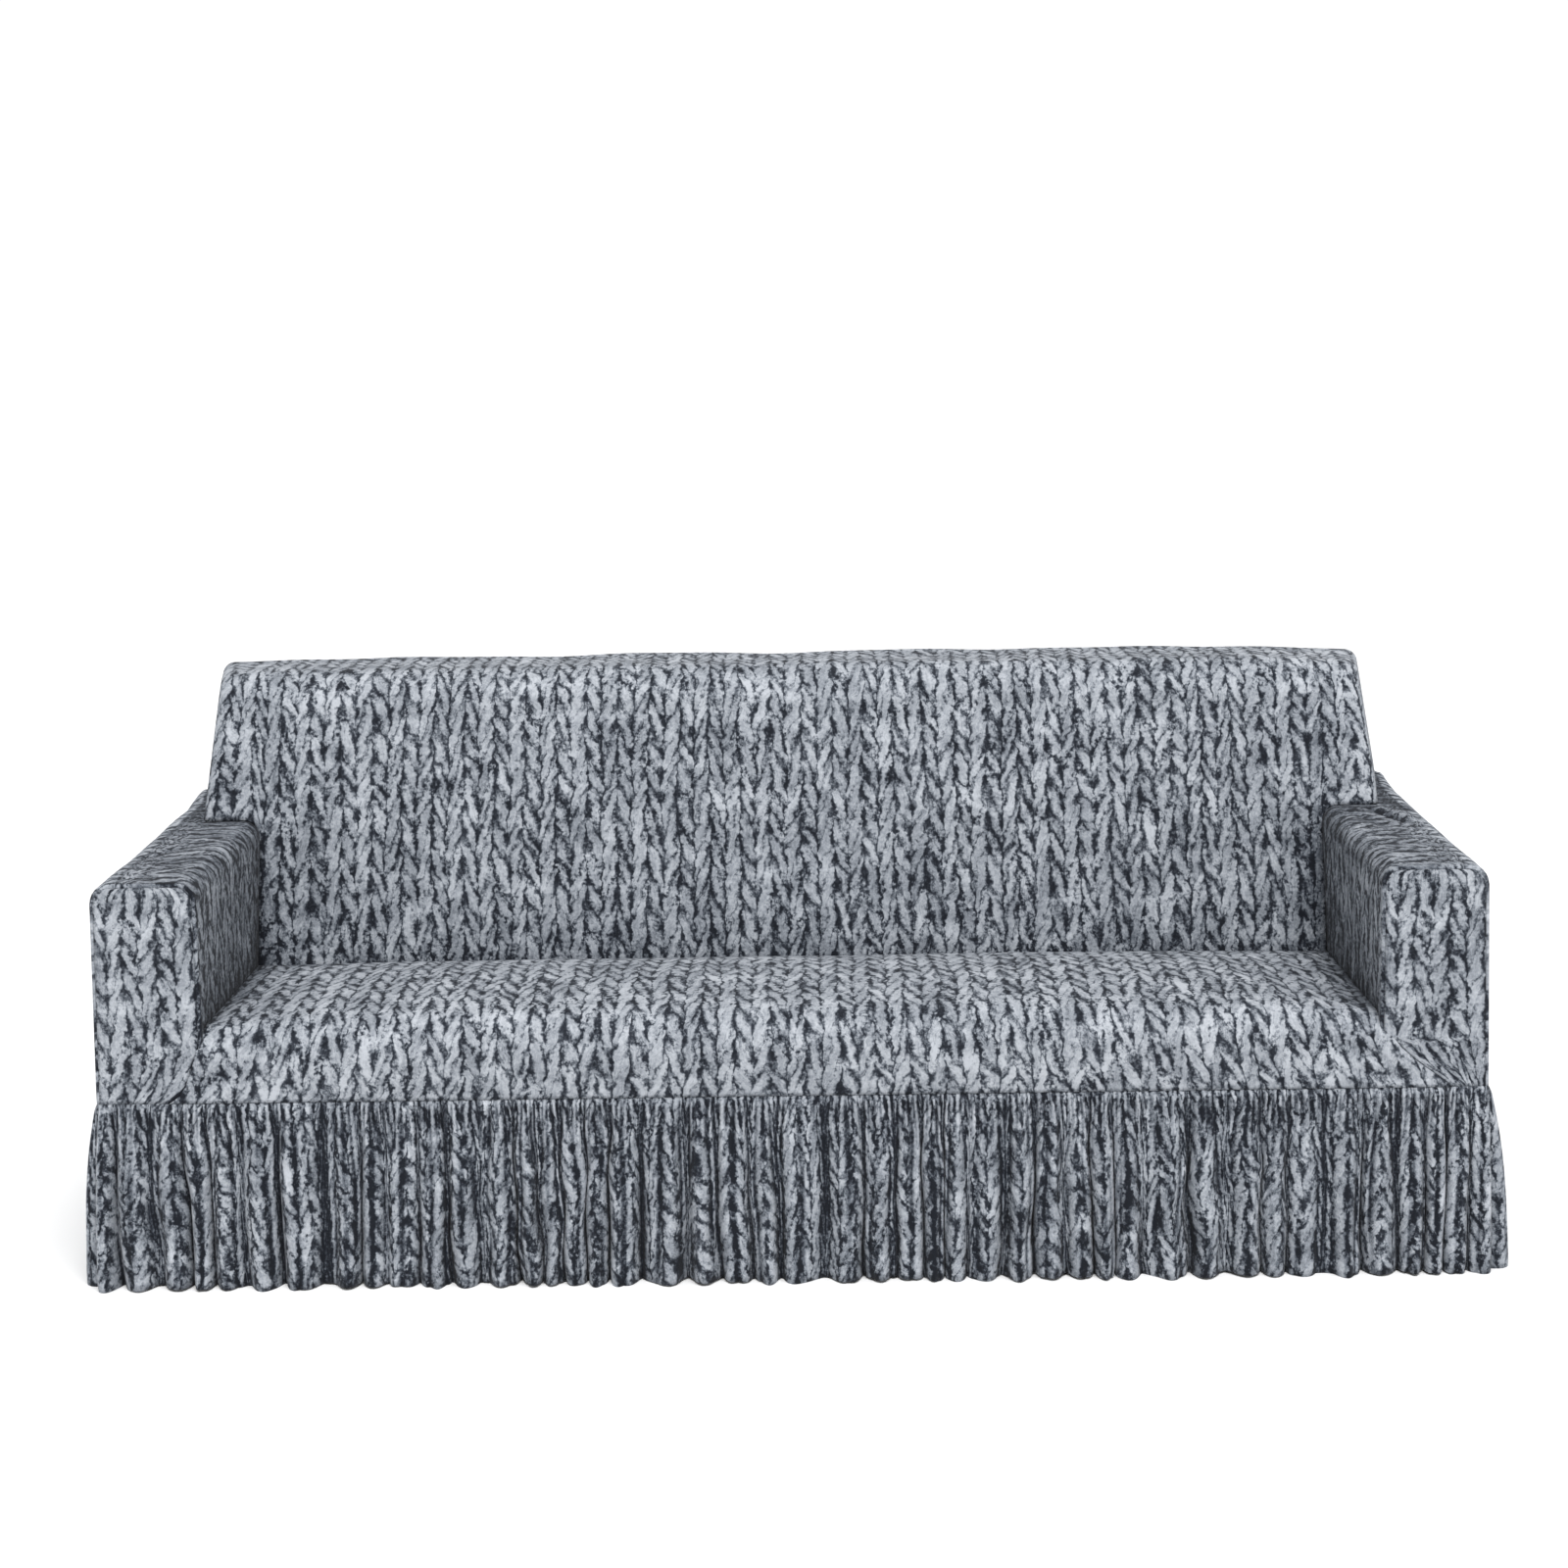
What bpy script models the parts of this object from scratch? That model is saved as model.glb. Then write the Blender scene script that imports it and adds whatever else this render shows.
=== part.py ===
"""A stretch slipcover with two arms and three seats, in the shape in which it hangs once fitted.

Nine flat cuts and four gathered lengths of one printed knit are sewn edge to edge. The cover is
open underneath and hollow all through. X runs along its width, the front faces -Y, and Z = 0 is
the floor under the middle of the cover.
"""

import math

import bmesh
import bpy

# Cloth and seams
CLOTH = 0.002
SEAM_GAP = 0.0003
TUCK = 0.004  # how far a hidden edge runs on past the piece that it meets

# The whole cover
DEPTH = 0.875
SEAM_HEIGHT = 0.285
HALF_WIDTH = 1.045
SIDE_LEAN = 0.012  # the sides stand this much further out at the skirt seam

# Arms
ARM_WIDTH = 0.156
ARM_HEIGHT = 0.618
ARM_ROLL = 0.005  # the top rises this much behind its front edge
ARM_ROLL_DEPTH = 0.09
ARM_RISE = 0.015  # and climbs this much more on its way to the back
ARM_SPREAD = 0.012  # and its outer edge moves out by this much
ARM_RISE_START = 0.22
ARM_OUTER_RADIUS = 0.018
ARM_SHELF_ROUND = 0.75  # most of the ledge beside the back that the outer edge may round away
ARM_INNER_RADIUS = 0.020
ARM_FRONT_RADIUS = 0.006
ARM_FRONT_TURN = 0.002  # width of the strip that lies on the front, past the rounded edge

# Seat
SEAT_HEIGHT = 0.400
SEAT_EDGE_RADIUS = 0.036
SEAT_CROWN = 0.034  # rise of the middle of the seat over its front edge
SEAT_BULGE = 0.009  # how far the middle of the apron stands forward
SEAT_SQUARENESS = 6  # power of the curve that carries crown and bulge out to the arms
SEAT_COLUMNS = (-1.0, -0.96, -0.88, -0.7, -0.45, -0.2, 0.0, 0.2, 0.45, 0.7, 0.88, 0.96, 1.0)
SEAT_ROWS = (0.2, 0.4, 0.6, 0.8, 0.93, 1.0)  # shares of the way from the rounded edge to the back

# Back
BACK_HEIGHT = 0.870
BACK_END_DROP = {-1: 0.003, 1: 0.009}  # how far the top droops to its left and right ends
BACK_DROOP_START = 0.60  # distance from the middle where the droop begins
BACK_DROOP_FOOT = 0.66  # height under which nothing droops
BACK_FOOT_HEIGHT = 0.389
BACK_FOOT_DEPTH = 0.452
BACK_LEAN = 0.33  # metres back for each metre up
BACK_SWELL = 0.010
BACK_FRONT_HALF = 0.985
BACK_REAR_HALF = 1.048
BACK_TAPER = 0.030
BACK_FRONT_RADIUS = 0.070
BACK_REAR_RADIUS = 0.045
BACK_EDGE_RADIUS = 0.028
BACK_EDGE_TURN = 0.006  # width of the strip that lies on the end, past the rounded edge
BACK_REAR_SEAM = 0.804

# Skirt
FOLDS = {"front": 45, "right": 19, "back": 45, "left": 19}
FOLD_POINTS = 5
SKIRT_REACH = 0.021  # mean distance of the hem from the seam line
FOLD_DEPTH = 0.0145  # half the depth of a fold at the hem
CORNER_FLARE = 0.007  # how much further the hem stands out at the corners
CORNER_WIDTH = 0.060
HEM_LIFT = 0.004
FOLD_ONSET = 0.6  # power of the drop at which the folds open out
SKIRT_ROWS = (0.0, 0.07, 0.40, 1.0)  # shares of the skirt's drop

# Uneven folds: each row swings a length's folds sideways and in depth. Waves are a share of the
# length's own folds, and swing is in folds.
FOLD_DRIFT = (
    # waves, swing, depth share, start
    (0.067, 0.40, 0.14, 0.3),
    (0.170, 0.20, 0.17, 1.9),
    (0.380, 0.08, 0.20, 4.4),
)

# The seam between the seat's apron and each arm's front: how far it has moved out at each height
# over the skirt seam. The apron's lower corners are pulled out under the arms.
APRON_SEAM = (
    # height, left, right
    (0.000, 0.062, 0.110),
    (0.012, 0.036, 0.083),
    (0.030, 0.013, 0.048),
    (0.050, 0.003, 0.022),
    (0.071, 0.000, 0.000),
)
APRON_HEIGHTS = [SEAM_HEIGHT + SEAM_GAP] + [SEAM_HEIGHT + row[0] for row in APRON_SEAM[1:-1]]

KNIT_COLOUR = (0.30, 0.33, 0.38, 1.0)
KNIT_ROUGHNESS = 0.92

STANDING_GAP = 2 * SEAM_GAP + CLOTH * BACK_LEAN  # under a leaning edge that stands on the arm
ARM_INNER = HALF_WIDTH - ARM_WIDTH
ARM_FRONT_INSET = ARM_FRONT_RADIUS + ARM_FRONT_TURN
BACK_SIDE_INSET = BACK_EDGE_RADIUS + BACK_EDGE_TURN
SIDE_NAMES = {-1: "left", 1: "right"}


def clear_scene():
    for scene_object in list(bpy.data.objects):
        bpy.data.objects.remove(scene_object, do_unlink=True)


def new_collection(name):
    collection = bpy.data.collections.new(name)
    bpy.context.scene.collection.children.link(collection)
    return collection


def knit_material(name):
    material = bpy.data.materials.new(name)
    material.use_nodes = True
    shader = material.node_tree.nodes["Principled BSDF"]
    shader.inputs["Base Color"].default_value = KNIT_COLOUR
    shader.inputs["Roughness"].default_value = KNIT_ROUGHNESS
    shader.inputs["Metallic"].default_value = 0.0
    return material


def mix(start, end, share):
    return start + (end - start) * share


def portion(value, start, end):
    """Where value lies between start and end, from 0 to 1."""
    return min(max((value - start) / (end - start), 0.0), 1.0)


def read_table(table, key):
    """The second column of a table of pairs at key, between its rows."""
    rows = sorted(table)
    for (low_key, low), (high_key, high) in zip(rows, rows[1:]):
        if key <= high_key:
            return mix(low, high, portion(key, low_key, high_key))
    return rows[-1][1]


def even_shares(steps):
    return [step / steps for step in range(steps + 1)]


def cloth_panel(name, columns, rows, point_at, left_out=None):
    """One piece of cloth: a grid laid on the cover's outer face, with its thickness inwards.

    point_at(column, row) gives a grid point's place, with Y counted from the arms' fronts.
    left_out(column, row) is true for a cell that is cut away.
    """
    bpy.ops.mesh.primitive_grid_add(x_subdivisions=columns, y_subdivisions=rows, size=1)
    panel = bpy.context.object
    panel.name = name
    panel.data.name = name
    for vertex in panel.data.vertices:
        column = round((vertex.co.x + 0.5) * columns)
        row = round((vertex.co.y + 0.5) * rows)
        x, y, z = point_at(column, row)
        vertex.co = (x, y - DEPTH / 2, z)
    if left_out:
        cut_cells(panel, columns, rows, left_out)
    thickness = panel.modifiers.new("cloth", "SOLIDIFY")
    thickness.thickness = CLOTH
    thickness.offset = -1.0
    thickness.use_even_offset = True
    panel.data.materials.append(knit_material(name + "_knit"))
    panel.data.shade_smooth()
    for collection in panel.users_collection:
        collection.objects.unlink(panel)
    cover.objects.link(panel)
    return panel


def cut_cells(panel, columns, rows, left_out):
    """Cuts cells out of a panel's grid, whose faces run row by row."""
    mesh = bmesh.new()
    mesh.from_mesh(panel.data)
    mesh.faces.ensure_lookup_table()
    cells = [(column, row) for row in range(rows) for column in range(columns)]
    doomed = [mesh.faces[i] for i, cell in enumerate(cells) if left_out(*cell)]
    bmesh.ops.delete(mesh, geom=doomed, context="FACES")
    mesh.to_mesh(panel.data)
    mesh.free()


def flip(panel):
    """Turns a panel whose grid runs the other way round, so that it faces out."""
    panel.data.flip_normals()
    return panel


# Main faces of the cover


def arm_top(y):
    rolled = ARM_ROLL * portion(y, 0.0, ARM_ROLL_DEPTH)
    return ARM_HEIGHT + rolled + ARM_RISE * portion(y, ARM_RISE_START, DEPTH)


def back_face(z):
    """Depth of the back's front face at a height, before its top edge rounds off."""
    height_share = portion(z, BACK_FOOT_HEIGHT, BACK_HEIGHT)
    return (
        BACK_FOOT_DEPTH
        + BACK_LEAN * (z - BACK_FOOT_HEIGHT)
        - BACK_SWELL * math.sin(math.pi * height_share)
    )


def arm_edge(y):
    """Distance from the middle to the arm's outer top edge."""
    return HALF_WIDTH + ARM_SPREAD * portion(y, ARM_RISE_START, DEPTH)


def side_of_arm(y, z):
    return mix(HALF_WIDTH + SIDE_LEAN, arm_edge(y), portion(z, SEAM_HEIGHT, ARM_HEIGHT))


def side_of_back(y, z):
    """Half the back's width on its end, which opens out to the rear and narrows to the top."""
    corner = back_face(ARM_HEIGHT)
    width = mix(BACK_FRONT_HALF, BACK_REAR_HALF, portion(y, corner, DEPTH))
    return width - BACK_TAPER * portion(z, ARM_HEIGHT, BACK_HEIGHT)


def side_at_rear(y, z):
    """Half the cover's width near its rear corners, from the skirt seam to the top."""
    blend = portion(z, ARM_HEIGHT - ARM_OUTER_RADIUS, ARM_HEIGHT + ARM_OUTER_RADIUS)
    return mix(side_of_arm(y, z), side_of_back(y, z), blend)


def end_droop(x, z):
    """How much lower a point of the back lies because the top droops to its ends."""
    outwards = portion(abs(x), BACK_DROOP_START, BACK_REAR_HALF) ** 2
    upwards = portion(z, BACK_DROOP_FOOT, BACK_HEIGHT)
    return BACK_END_DROP[1 if x > 0 else -1] * outwards * upwards


def edge_columns(flat_steps, arc_steps):
    """(share, reach, inset) of the columns across the back: flat, round its edge, on its end.

    A point lies at share of the flat half-width, plus reach, and inset from the outline.
    """
    turned = []
    for step in range(1, arc_steps + 1):
        angle = math.pi / 2 * step / arc_steps
        reach = BACK_EDGE_RADIUS * math.sin(angle)
        turned.append((1.0, reach, BACK_EDGE_RADIUS * (1 - math.cos(angle))))
    turned.append((1.0, BACK_EDGE_RADIUS, BACK_SIDE_INSET))
    flat = [(2 * share - 1, 0.0, 0.0) for share in even_shares(flat_steps)]
    mirrored = [(-share, -reach, inset) for share, reach, inset in reversed(turned)]
    return mirrored + flat + turned


def across_back(y, z, share, reach):
    return share * (side_at_rear(y, z) - BACK_EDGE_RADIUS) + reach


# The back's outline from the side: points (y, z) with their outward direction


def front_outline(steps):
    """Up the back's front face, from the crease at the seat to where the top edge rounds off."""
    low = BACK_FOOT_HEIGHT
    high = BACK_HEIGHT - BACK_FRONT_RADIUS
    outline = []
    for z in front_heights(low, high, steps):
        outline.append((back_face(z), z, -1.0, 0.0))
    return outline


def front_heights(low, high, steps):
    """Heights up the front face. One of them is the arm's top, where the panel widens."""
    below = [mix(low, notch_height(ARM_INNER + ARM_WIDTH), share) for share in even_shares(steps)]
    above = [mix(below[-1], high, share) for share in even_shares(steps)[1:]]
    return below + above


def top_outline(front_steps, rear_steps):
    """Over the top, from the front edge's curve to the seam on the rear."""
    start = back_face(BACK_HEIGHT - BACK_FRONT_RADIUS)
    arcs = (
        (start + BACK_FRONT_RADIUS, BACK_FRONT_RADIUS, math.pi, front_steps, 1),
        (DEPTH - BACK_REAR_RADIUS, BACK_REAR_RADIUS, math.pi / 2, rear_steps, 0),
    )
    outline = []
    for centre, radius, first_angle, steps, first_step in arcs:
        for step in range(first_step, steps + 1):
            angle = first_angle - math.pi / 2 * step / steps
            facing_y, facing_z = math.cos(angle), math.sin(angle)
            y = centre + radius * facing_y
            z = BACK_HEIGHT - radius + radius * facing_z
            outline.append((y, z, facing_y, facing_z))
    outline.append((DEPTH, BACK_REAR_SEAM + SEAM_GAP, 1.0, 0.0))
    return outline


def notch_height(x):
    """Height of the lower edge of the back's inside where it stands on an arm's top."""
    top = arm_top(back_face(ARM_HEIGHT)) + STANDING_GAP
    run = min(max(x - ARM_INNER, 0.0), ARM_INNER_RADIUS)
    drop = ARM_INNER_RADIUS - math.sqrt(ARM_INNER_RADIUS**2 - (ARM_INNER_RADIUS - run) ** 2)
    return top - drop


def back_inside():
    """The inside of the back: up from the seat's crease, over the top and onto the rear."""
    face_steps = 4
    outline = front_outline(face_steps) + top_outline(4, 3)
    inner = ARM_INNER - SEAM_GAP
    rounded = [arm_section("inner_edge", share, DEPTH / 2)[0] for share in (2 / 3, 1 / 3, 0)]
    over_arm = [inner] + rounded
    columns = []
    for share, reach, inset in edge_columns(1, 3):
        if reach > 0:
            columns.append((share, reach, inset))
    flat = [(x, 0.0, 0.0) for x in [inner * share for share in even_shares(5)][1:-1]]
    half = flat + [(x, 0.0, 0.0) for x in over_arm] + [(None, 0.0, 0.0)] + columns
    mirrored = [(x, -reach, inset) for x, reach, inset in reversed(half)]
    across = [(-1, column) for column in mirrored] + [(1, (0.0, 0.0, 0.0))]
    across += [(1, column) for column in half]
    first_over_arm = len(half) - len(columns) - 1 - len(over_arm)

    def point_at(column, row):
        side, (x, reach, inset) = across[column]
        y, z, facing_y, facing_z = outline[row]
        y, z = y - inset * facing_y, z - inset * facing_z
        edge = side_of_back(y, z) - BACK_EDGE_RADIUS
        if x is None or reach:
            x = side * edge + reach
            z = arm_top(y) + STANDING_GAP if row == face_steps else z - end_droop(x, z)
            return x, y, z
        if x > ARM_INNER - 2 * ARM_INNER_RADIUS:
            near = 1 - portion(abs(row - face_steps), 0, 2)
            z += near * (notch_height(x) - notch_height(HALF_WIDTH))
            y = back_face(z) if row <= 2 * face_steps else y
        return side * x, y, z - end_droop(side * x, z)

    middle = len(half)

    def left_out(column, row):
        steps_out = column - middle if column >= middle else middle - 1 - column
        return row < face_steps and steps_out > first_over_arm

    return cloth_panel(
        "back_inside", len(across) - 1, len(outline) - 1, point_at, left_out
    )


def back_outside():
    """The rear of the back, from the seam under the top's rear edge down to the skirt seam."""
    middle = (BACK_REAR_SEAM + ARM_HEIGHT) / 2
    over_arm, under_arm = ARM_HEIGHT + ARM_OUTER_RADIUS, ARM_HEIGHT - ARM_OUTER_RADIUS
    lower = (SEAM_HEIGHT + ARM_HEIGHT) / 2
    heights = (BACK_REAR_SEAM, middle, over_arm, under_arm, lower, SEAM_HEIGHT + SEAM_GAP)
    across = edge_columns(10, 3)

    def point_at(column, row):
        share, reach, inset = across[column]
        y, z = DEPTH - inset, heights[row]
        x = across_back(y, z, share, reach)
        return x, y, z - end_droop(x, z)

    return cloth_panel("back_outside", len(across) - 1, len(heights) - 1, point_at)


def back_side(side):
    """The gusset on an end of the back, above the arm, inside the strips that turn round it."""
    inset = BACK_SIDE_INSET + SEAM_GAP
    outline = front_outline(4)[4:] + top_outline(4, 3)
    curve = [(y - inset * ny, z - inset * nz) for y, z, ny, nz in outline]
    crest = BACK_HEIGHT - inset
    middle = (back_face(BACK_HEIGHT) + DEPTH) / 2
    front = sorted({(z, y) for y, z in curve if y < middle})
    rear = sorted({(z, y) for y, z in curve if y > middle})
    foot = arm_top(back_face(ARM_HEIGHT))
    heights = [z for z, y in front if foot + inset < z < crest - CLOTH]
    heights = [None] + heights + [crest]  # the lowest row stands on the arm
    depth_shares = even_shares(4)

    def point_at(column, row):
        z = heights[row]
        z_for_ends = foot if z is None else z
        start, end = read_table(front, z_for_ends), read_table(rear, z_for_ends)
        y = mix(start, end, depth_shares[column])
        if z is None:
            z = arm_top(y) + STANDING_GAP
        x = side * side_of_back(y, z)
        return x, y, z - end_droop(x, z)

    panel = cloth_panel(
        "back_side_" + SIDE_NAMES[side], len(depth_shares) - 1, len(heights) - 1, point_at
    )
    return panel if side > 0 else flip(panel)


# Arms


def leg_foot(y):
    """Lower edge of an arm's inside, just below the seat's surface beside it."""
    into_edge = max(SEAT_EDGE_RADIUS - y, 0.0)
    rounded = SEAT_EDGE_RADIUS - math.sqrt(SEAT_EDGE_RADIUS**2 - into_edge**2)
    return SEAT_HEIGHT - rounded - 2 * TUCK


def arm_section(zone, share, y):
    """A point (x, z) round the arm at depth y, with its outward direction."""
    top = arm_top(y)
    shelf = arm_edge(y) - side_of_back(y, ARM_HEIGHT)
    outer_radius = min(ARM_OUTER_RADIUS, ARM_SHELF_ROUND * shelf)
    outer_start, inner_end = arm_edge(y) - outer_radius, ARM_INNER + ARM_INNER_RADIUS
    if zone == "outside":
        z = mix(SEAM_HEIGHT + SEAM_GAP, top - outer_radius, share)
        return side_of_arm(y, z), z, 1.0, 0.0
    if zone == "outer_edge":
        angle = math.pi / 2 * share
        facing_x, facing_z = math.cos(angle), math.sin(angle)
        x, z = outer_start + outer_radius * facing_x, top - outer_radius * (1 - facing_z)
        return x, z, facing_x, facing_z
    if zone == "top":
        return mix(outer_start, inner_end, share), top, 0.0, 1.0
    if zone == "inner_edge":
        angle = math.pi / 2 * (1 + share)
        facing_x, facing_z = math.cos(angle), math.sin(angle)
        x = inner_end + ARM_INNER_RADIUS * facing_x
        return x, top - ARM_INNER_RADIUS * (1 - facing_z), facing_x, facing_z
    z = mix(top - ARM_INNER_RADIUS, leg_foot(y), share)
    return ARM_INNER, z, -1.0, 0.0


def wrap_rear(zone, share):
    """How far back each line round the arm runs: to the rear corner, or under the back."""
    if zone in ("outside", "outer_edge"):
        return DEPTH - BACK_SIDE_INSET - SEAM_GAP
    if zone == "top" and share < 1:
        low, high = back_face(ARM_HEIGHT), DEPTH - BACK_SIDE_INSET - SEAM_GAP
        for _ in range(30):
            middle = (low + high) / 2
            x = arm_section(zone, share, middle)[0]
            if x > side_of_back(middle, ARM_HEIGHT) - TUCK:
                low = middle
            else:
                high = middle
        return max(low, back_face(ARM_HEIGHT) + TUCK)
    if zone == "inside":
        return back_face(mix(ARM_HEIGHT, BACK_FOOT_HEIGHT, share)) + TUCK
    return back_face(ARM_HEIGHT) + TUCK


def arm_wrap(side):
    """An arm's outside, top and inside in one length, turned a little way onto its front."""
    lines = [("outside", share) for share in even_shares(4)]
    lines += [("outer_edge", share) for share in even_shares(3)[1:]]
    lines += [("top", share) for share in even_shares(4)[1:]]
    lines += [("inner_edge", share) for share in even_shares(3)[1:]]
    lines += [("inside", share) for share in even_shares(3)[1:]]
    front_turn = [(0.0, ARM_FRONT_INSET)]
    for angle in (math.pi / 2, math.pi / 4, 0.0):
        depth = ARM_FRONT_RADIUS * (1 - math.sin(angle))
        front_turn.append((depth, ARM_FRONT_RADIUS * (1 - math.cos(angle))))
    depth_shares = even_shares(9)[1:]

    def point_at(column, row):
        zone, share = lines[row]
        if column < len(front_turn):
            y, inset = front_turn[column]
        else:
            depth_share = depth_shares[column - len(front_turn)]
            y = mix(ARM_FRONT_RADIUS, wrap_rear(zone, share), depth_share)
            inset = 0.0
        x, z, facing_x, facing_z = arm_section(zone, share, y)
        return side * (x - inset * facing_x), y, z - inset * facing_z

    columns = len(front_turn) + len(depth_shares) - 1
    panel = cloth_panel("arm_wrap_" + SIDE_NAMES[side], columns, len(lines) - 1, point_at)
    return panel if side > 0 else flip(panel)


def apron_seam(side, z):
    """Where the seat's apron meets an arm's front, as a distance from the middle."""
    moved_out = [(height, left if side < 0 else right) for height, left, right in APRON_SEAM]
    return ARM_INNER + read_table(moved_out, z - SEAM_HEIGHT)


def arm_front(side):
    """The face panel on an arm's front, whose lower inside corner gives way to the apron."""
    inset = ARM_FRONT_INSET + SEAM_GAP
    leg = leg_foot(0.0) - SEAM_GAP
    heights = APRON_HEIGHTS + [leg - SEAM_GAP, leg]
    heights += [mix(leg, ARM_HEIGHT, share) for share in (1 / 3, 2 / 3)]
    outline = [arm_section("outer_edge", share, 0.0) for share in even_shares(3)]
    curve = [(z - inset * nz, x - inset * nx) for x, z, nx, nz in outline]
    inner_outline = [arm_section("inner_edge", share, 0.0) for share in even_shares(3)]
    inner_curve = [(z - inset * nz, x - inset * nx) for x, z, nx, nz in inner_outline]
    crest = ARM_HEIGHT - inset
    heights += sorted({z for z, x in curve if z < crest - SEAM_GAP})
    heights.append(crest)
    shares = even_shares(4)

    def inner_edge(z):
        if z < leg - SEAM_GAP / 2:
            return apron_seam(side, z) + SEAM_GAP
        return read_table(inner_curve, z) if z > inner_curve[-1][0] else ARM_INNER + inset

    def outer_edge(z):
        return read_table(curve, z) if z > curve[0][0] else side_of_arm(0.0, z) - inset

    def point_at(column, row):
        z = heights[row]
        return side * mix(inner_edge(z), outer_edge(z), shares[column]), 0.0, z

    panel = cloth_panel(
        "arm_front_" + SIDE_NAMES[side], len(shares) - 1, len(heights) - 1, point_at
    )
    return panel if side > 0 else flip(panel)


# Seat


def seat_panel():
    """The seat's top and its front apron in one length, crowned in the middle."""
    edge = SEAT_HEIGHT - SEAT_EDGE_RADIUS
    leg = leg_foot(0.0) - SEAM_GAP
    section = [(0.0, z) for z in APRON_HEIGHTS + [leg - SEAM_GAP, leg, edge]]
    for step in range(1, 5):
        angle = math.pi / 2 * step / 4
        y = SEAT_EDGE_RADIUS * (1 - math.cos(angle))
        section.append((y, edge + SEAT_EDGE_RADIUS * math.sin(angle)))
    rear = back_face(SEAT_HEIGHT - 2 * CLOTH) - SEAM_GAP
    for share in SEAT_ROWS:
        section.append((mix(SEAT_EDGE_RADIUS, rear, share), SEAT_HEIGHT))

    def point_at(column, row):
        y, z = section[row]
        across = SEAT_COLUMNS[column]
        half = ARM_INNER - SEAM_GAP
        if z < leg - SEAM_GAP / 2:
            half = apron_seam(1 if across > 0 else -1, z) - SEAM_GAP
        sideways = 1 - abs(across) ** SEAT_SQUARENESS
        along = portion(y, 0.0, rear)
        # Steepest at the front edge and at its highest ahead of the middle
        rise = SEAT_CROWN * math.sin(math.pi * along**0.8) ** 0.7 * sideways
        up_front = portion(z, SEAM_HEIGHT, SEAT_HEIGHT)
        bulge = SEAT_BULGE * math.sin(0.75 * math.pi * up_front) * sideways * (1 - along)
        return across * half, y - bulge, z + rise

    return cloth_panel("seat_panel", len(SEAT_COLUMNS) - 1, len(section) - 1, point_at)


# Skirt


def seam_path():
    """The skirt seam as runs (start, direction, length, turn radius) round the cover."""
    half = HALF_WIDTH + SIDE_LEAN
    front, rear = ARM_FRONT_RADIUS, BACK_EDGE_RADIUS
    return {
        "front": ((-half + front, 0.0), (1, 0), 2 * (half - front), front),
        "right": ((half, front), (0, 1), DEPTH - front - rear, rear),
        "back": ((half - rear, DEPTH), (-1, 0), 2 * (half - rear), rear),
        "left": ((-half, DEPTH - rear), (0, -1), DEPTH - front - rear, front),
    }


def turn_length(radius):
    """Length of a corner along the middle of the skirt, where it stands out from the seam."""
    return math.pi / 2 * (radius + SKIRT_REACH)


SEAM_PATH = seam_path()


def fold_phase(name, share):
    """The fold that is reached at a share of one length, which starts and ends in a valley."""
    phase = FOLDS[name] * share
    for wave_share, swing, _, start in FOLD_DRIFT:
        waves = round(FOLDS[name] * wave_share)
        phase += swing * (math.sin(2 * math.pi * waves * share + start) - math.sin(start))
    return phase


def fold_strength(name, share):
    strength = 1.0
    for wave_share, _, depth_share, _ in FOLD_DRIFT:
        waves = round(FOLDS[name] * wave_share)
        strength += depth_share * math.sin(2 * math.pi * waves * share)
    return strength


def skirt_reach(name, share, drop_share):
    """How far the skirt stands out from the seam line."""
    spread = drop_share**FOLD_ONSET
    fold = -math.cos(2 * math.pi * fold_phase(name, share))
    from_corner = min(share, 1 - share) * SEAM_PATH[name][2]
    flare = CORNER_FLARE * math.exp(-((from_corner / CORNER_WIDTH) ** 2))
    return spread * (SKIRT_REACH + flare + FOLD_DEPTH * fold_strength(name, share) * fold)


def place_on_path(name, along_run):
    """Point on the seam line and its outward direction, with along_run from the run's start.

    Before the start and past the end of a run the line turns half of the corner.
    """
    (x, y), (step_x, step_y), length, radius = SEAM_PATH[name]
    names = list(SEAM_PATH)
    before = SEAM_PATH[names[names.index(name) - 1]][3]
    if along_run < 0:
        corner, past, run = before, along_run, 0.0
    else:
        corner, past, run = radius, max(along_run - length, 0.0), min(along_run, length)
    out_x, out_y = step_y, -step_x
    centre_x = x + run * step_x - corner * out_x
    centre_y = y + run * step_y - corner * out_y
    angle = past / (corner + SKIRT_REACH)
    facing_x = out_x * math.cos(angle) + step_x * math.sin(angle)
    facing_y = out_y * math.cos(angle) + step_y * math.sin(angle)
    return centre_x + corner * facing_x, centre_y + corner * facing_y, facing_x, facing_y


def skirt_columns(name):
    """Shares of a length at even steps through each fold, so that every fold has its crest."""
    samples = even_shares(200 * FOLDS[name])
    columns = [0.0]
    for share in samples:
        if fold_phase(name, share) * FOLD_POINTS >= len(columns) and share < 1:
            columns.append(share)
    return columns + [1.0]


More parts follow.
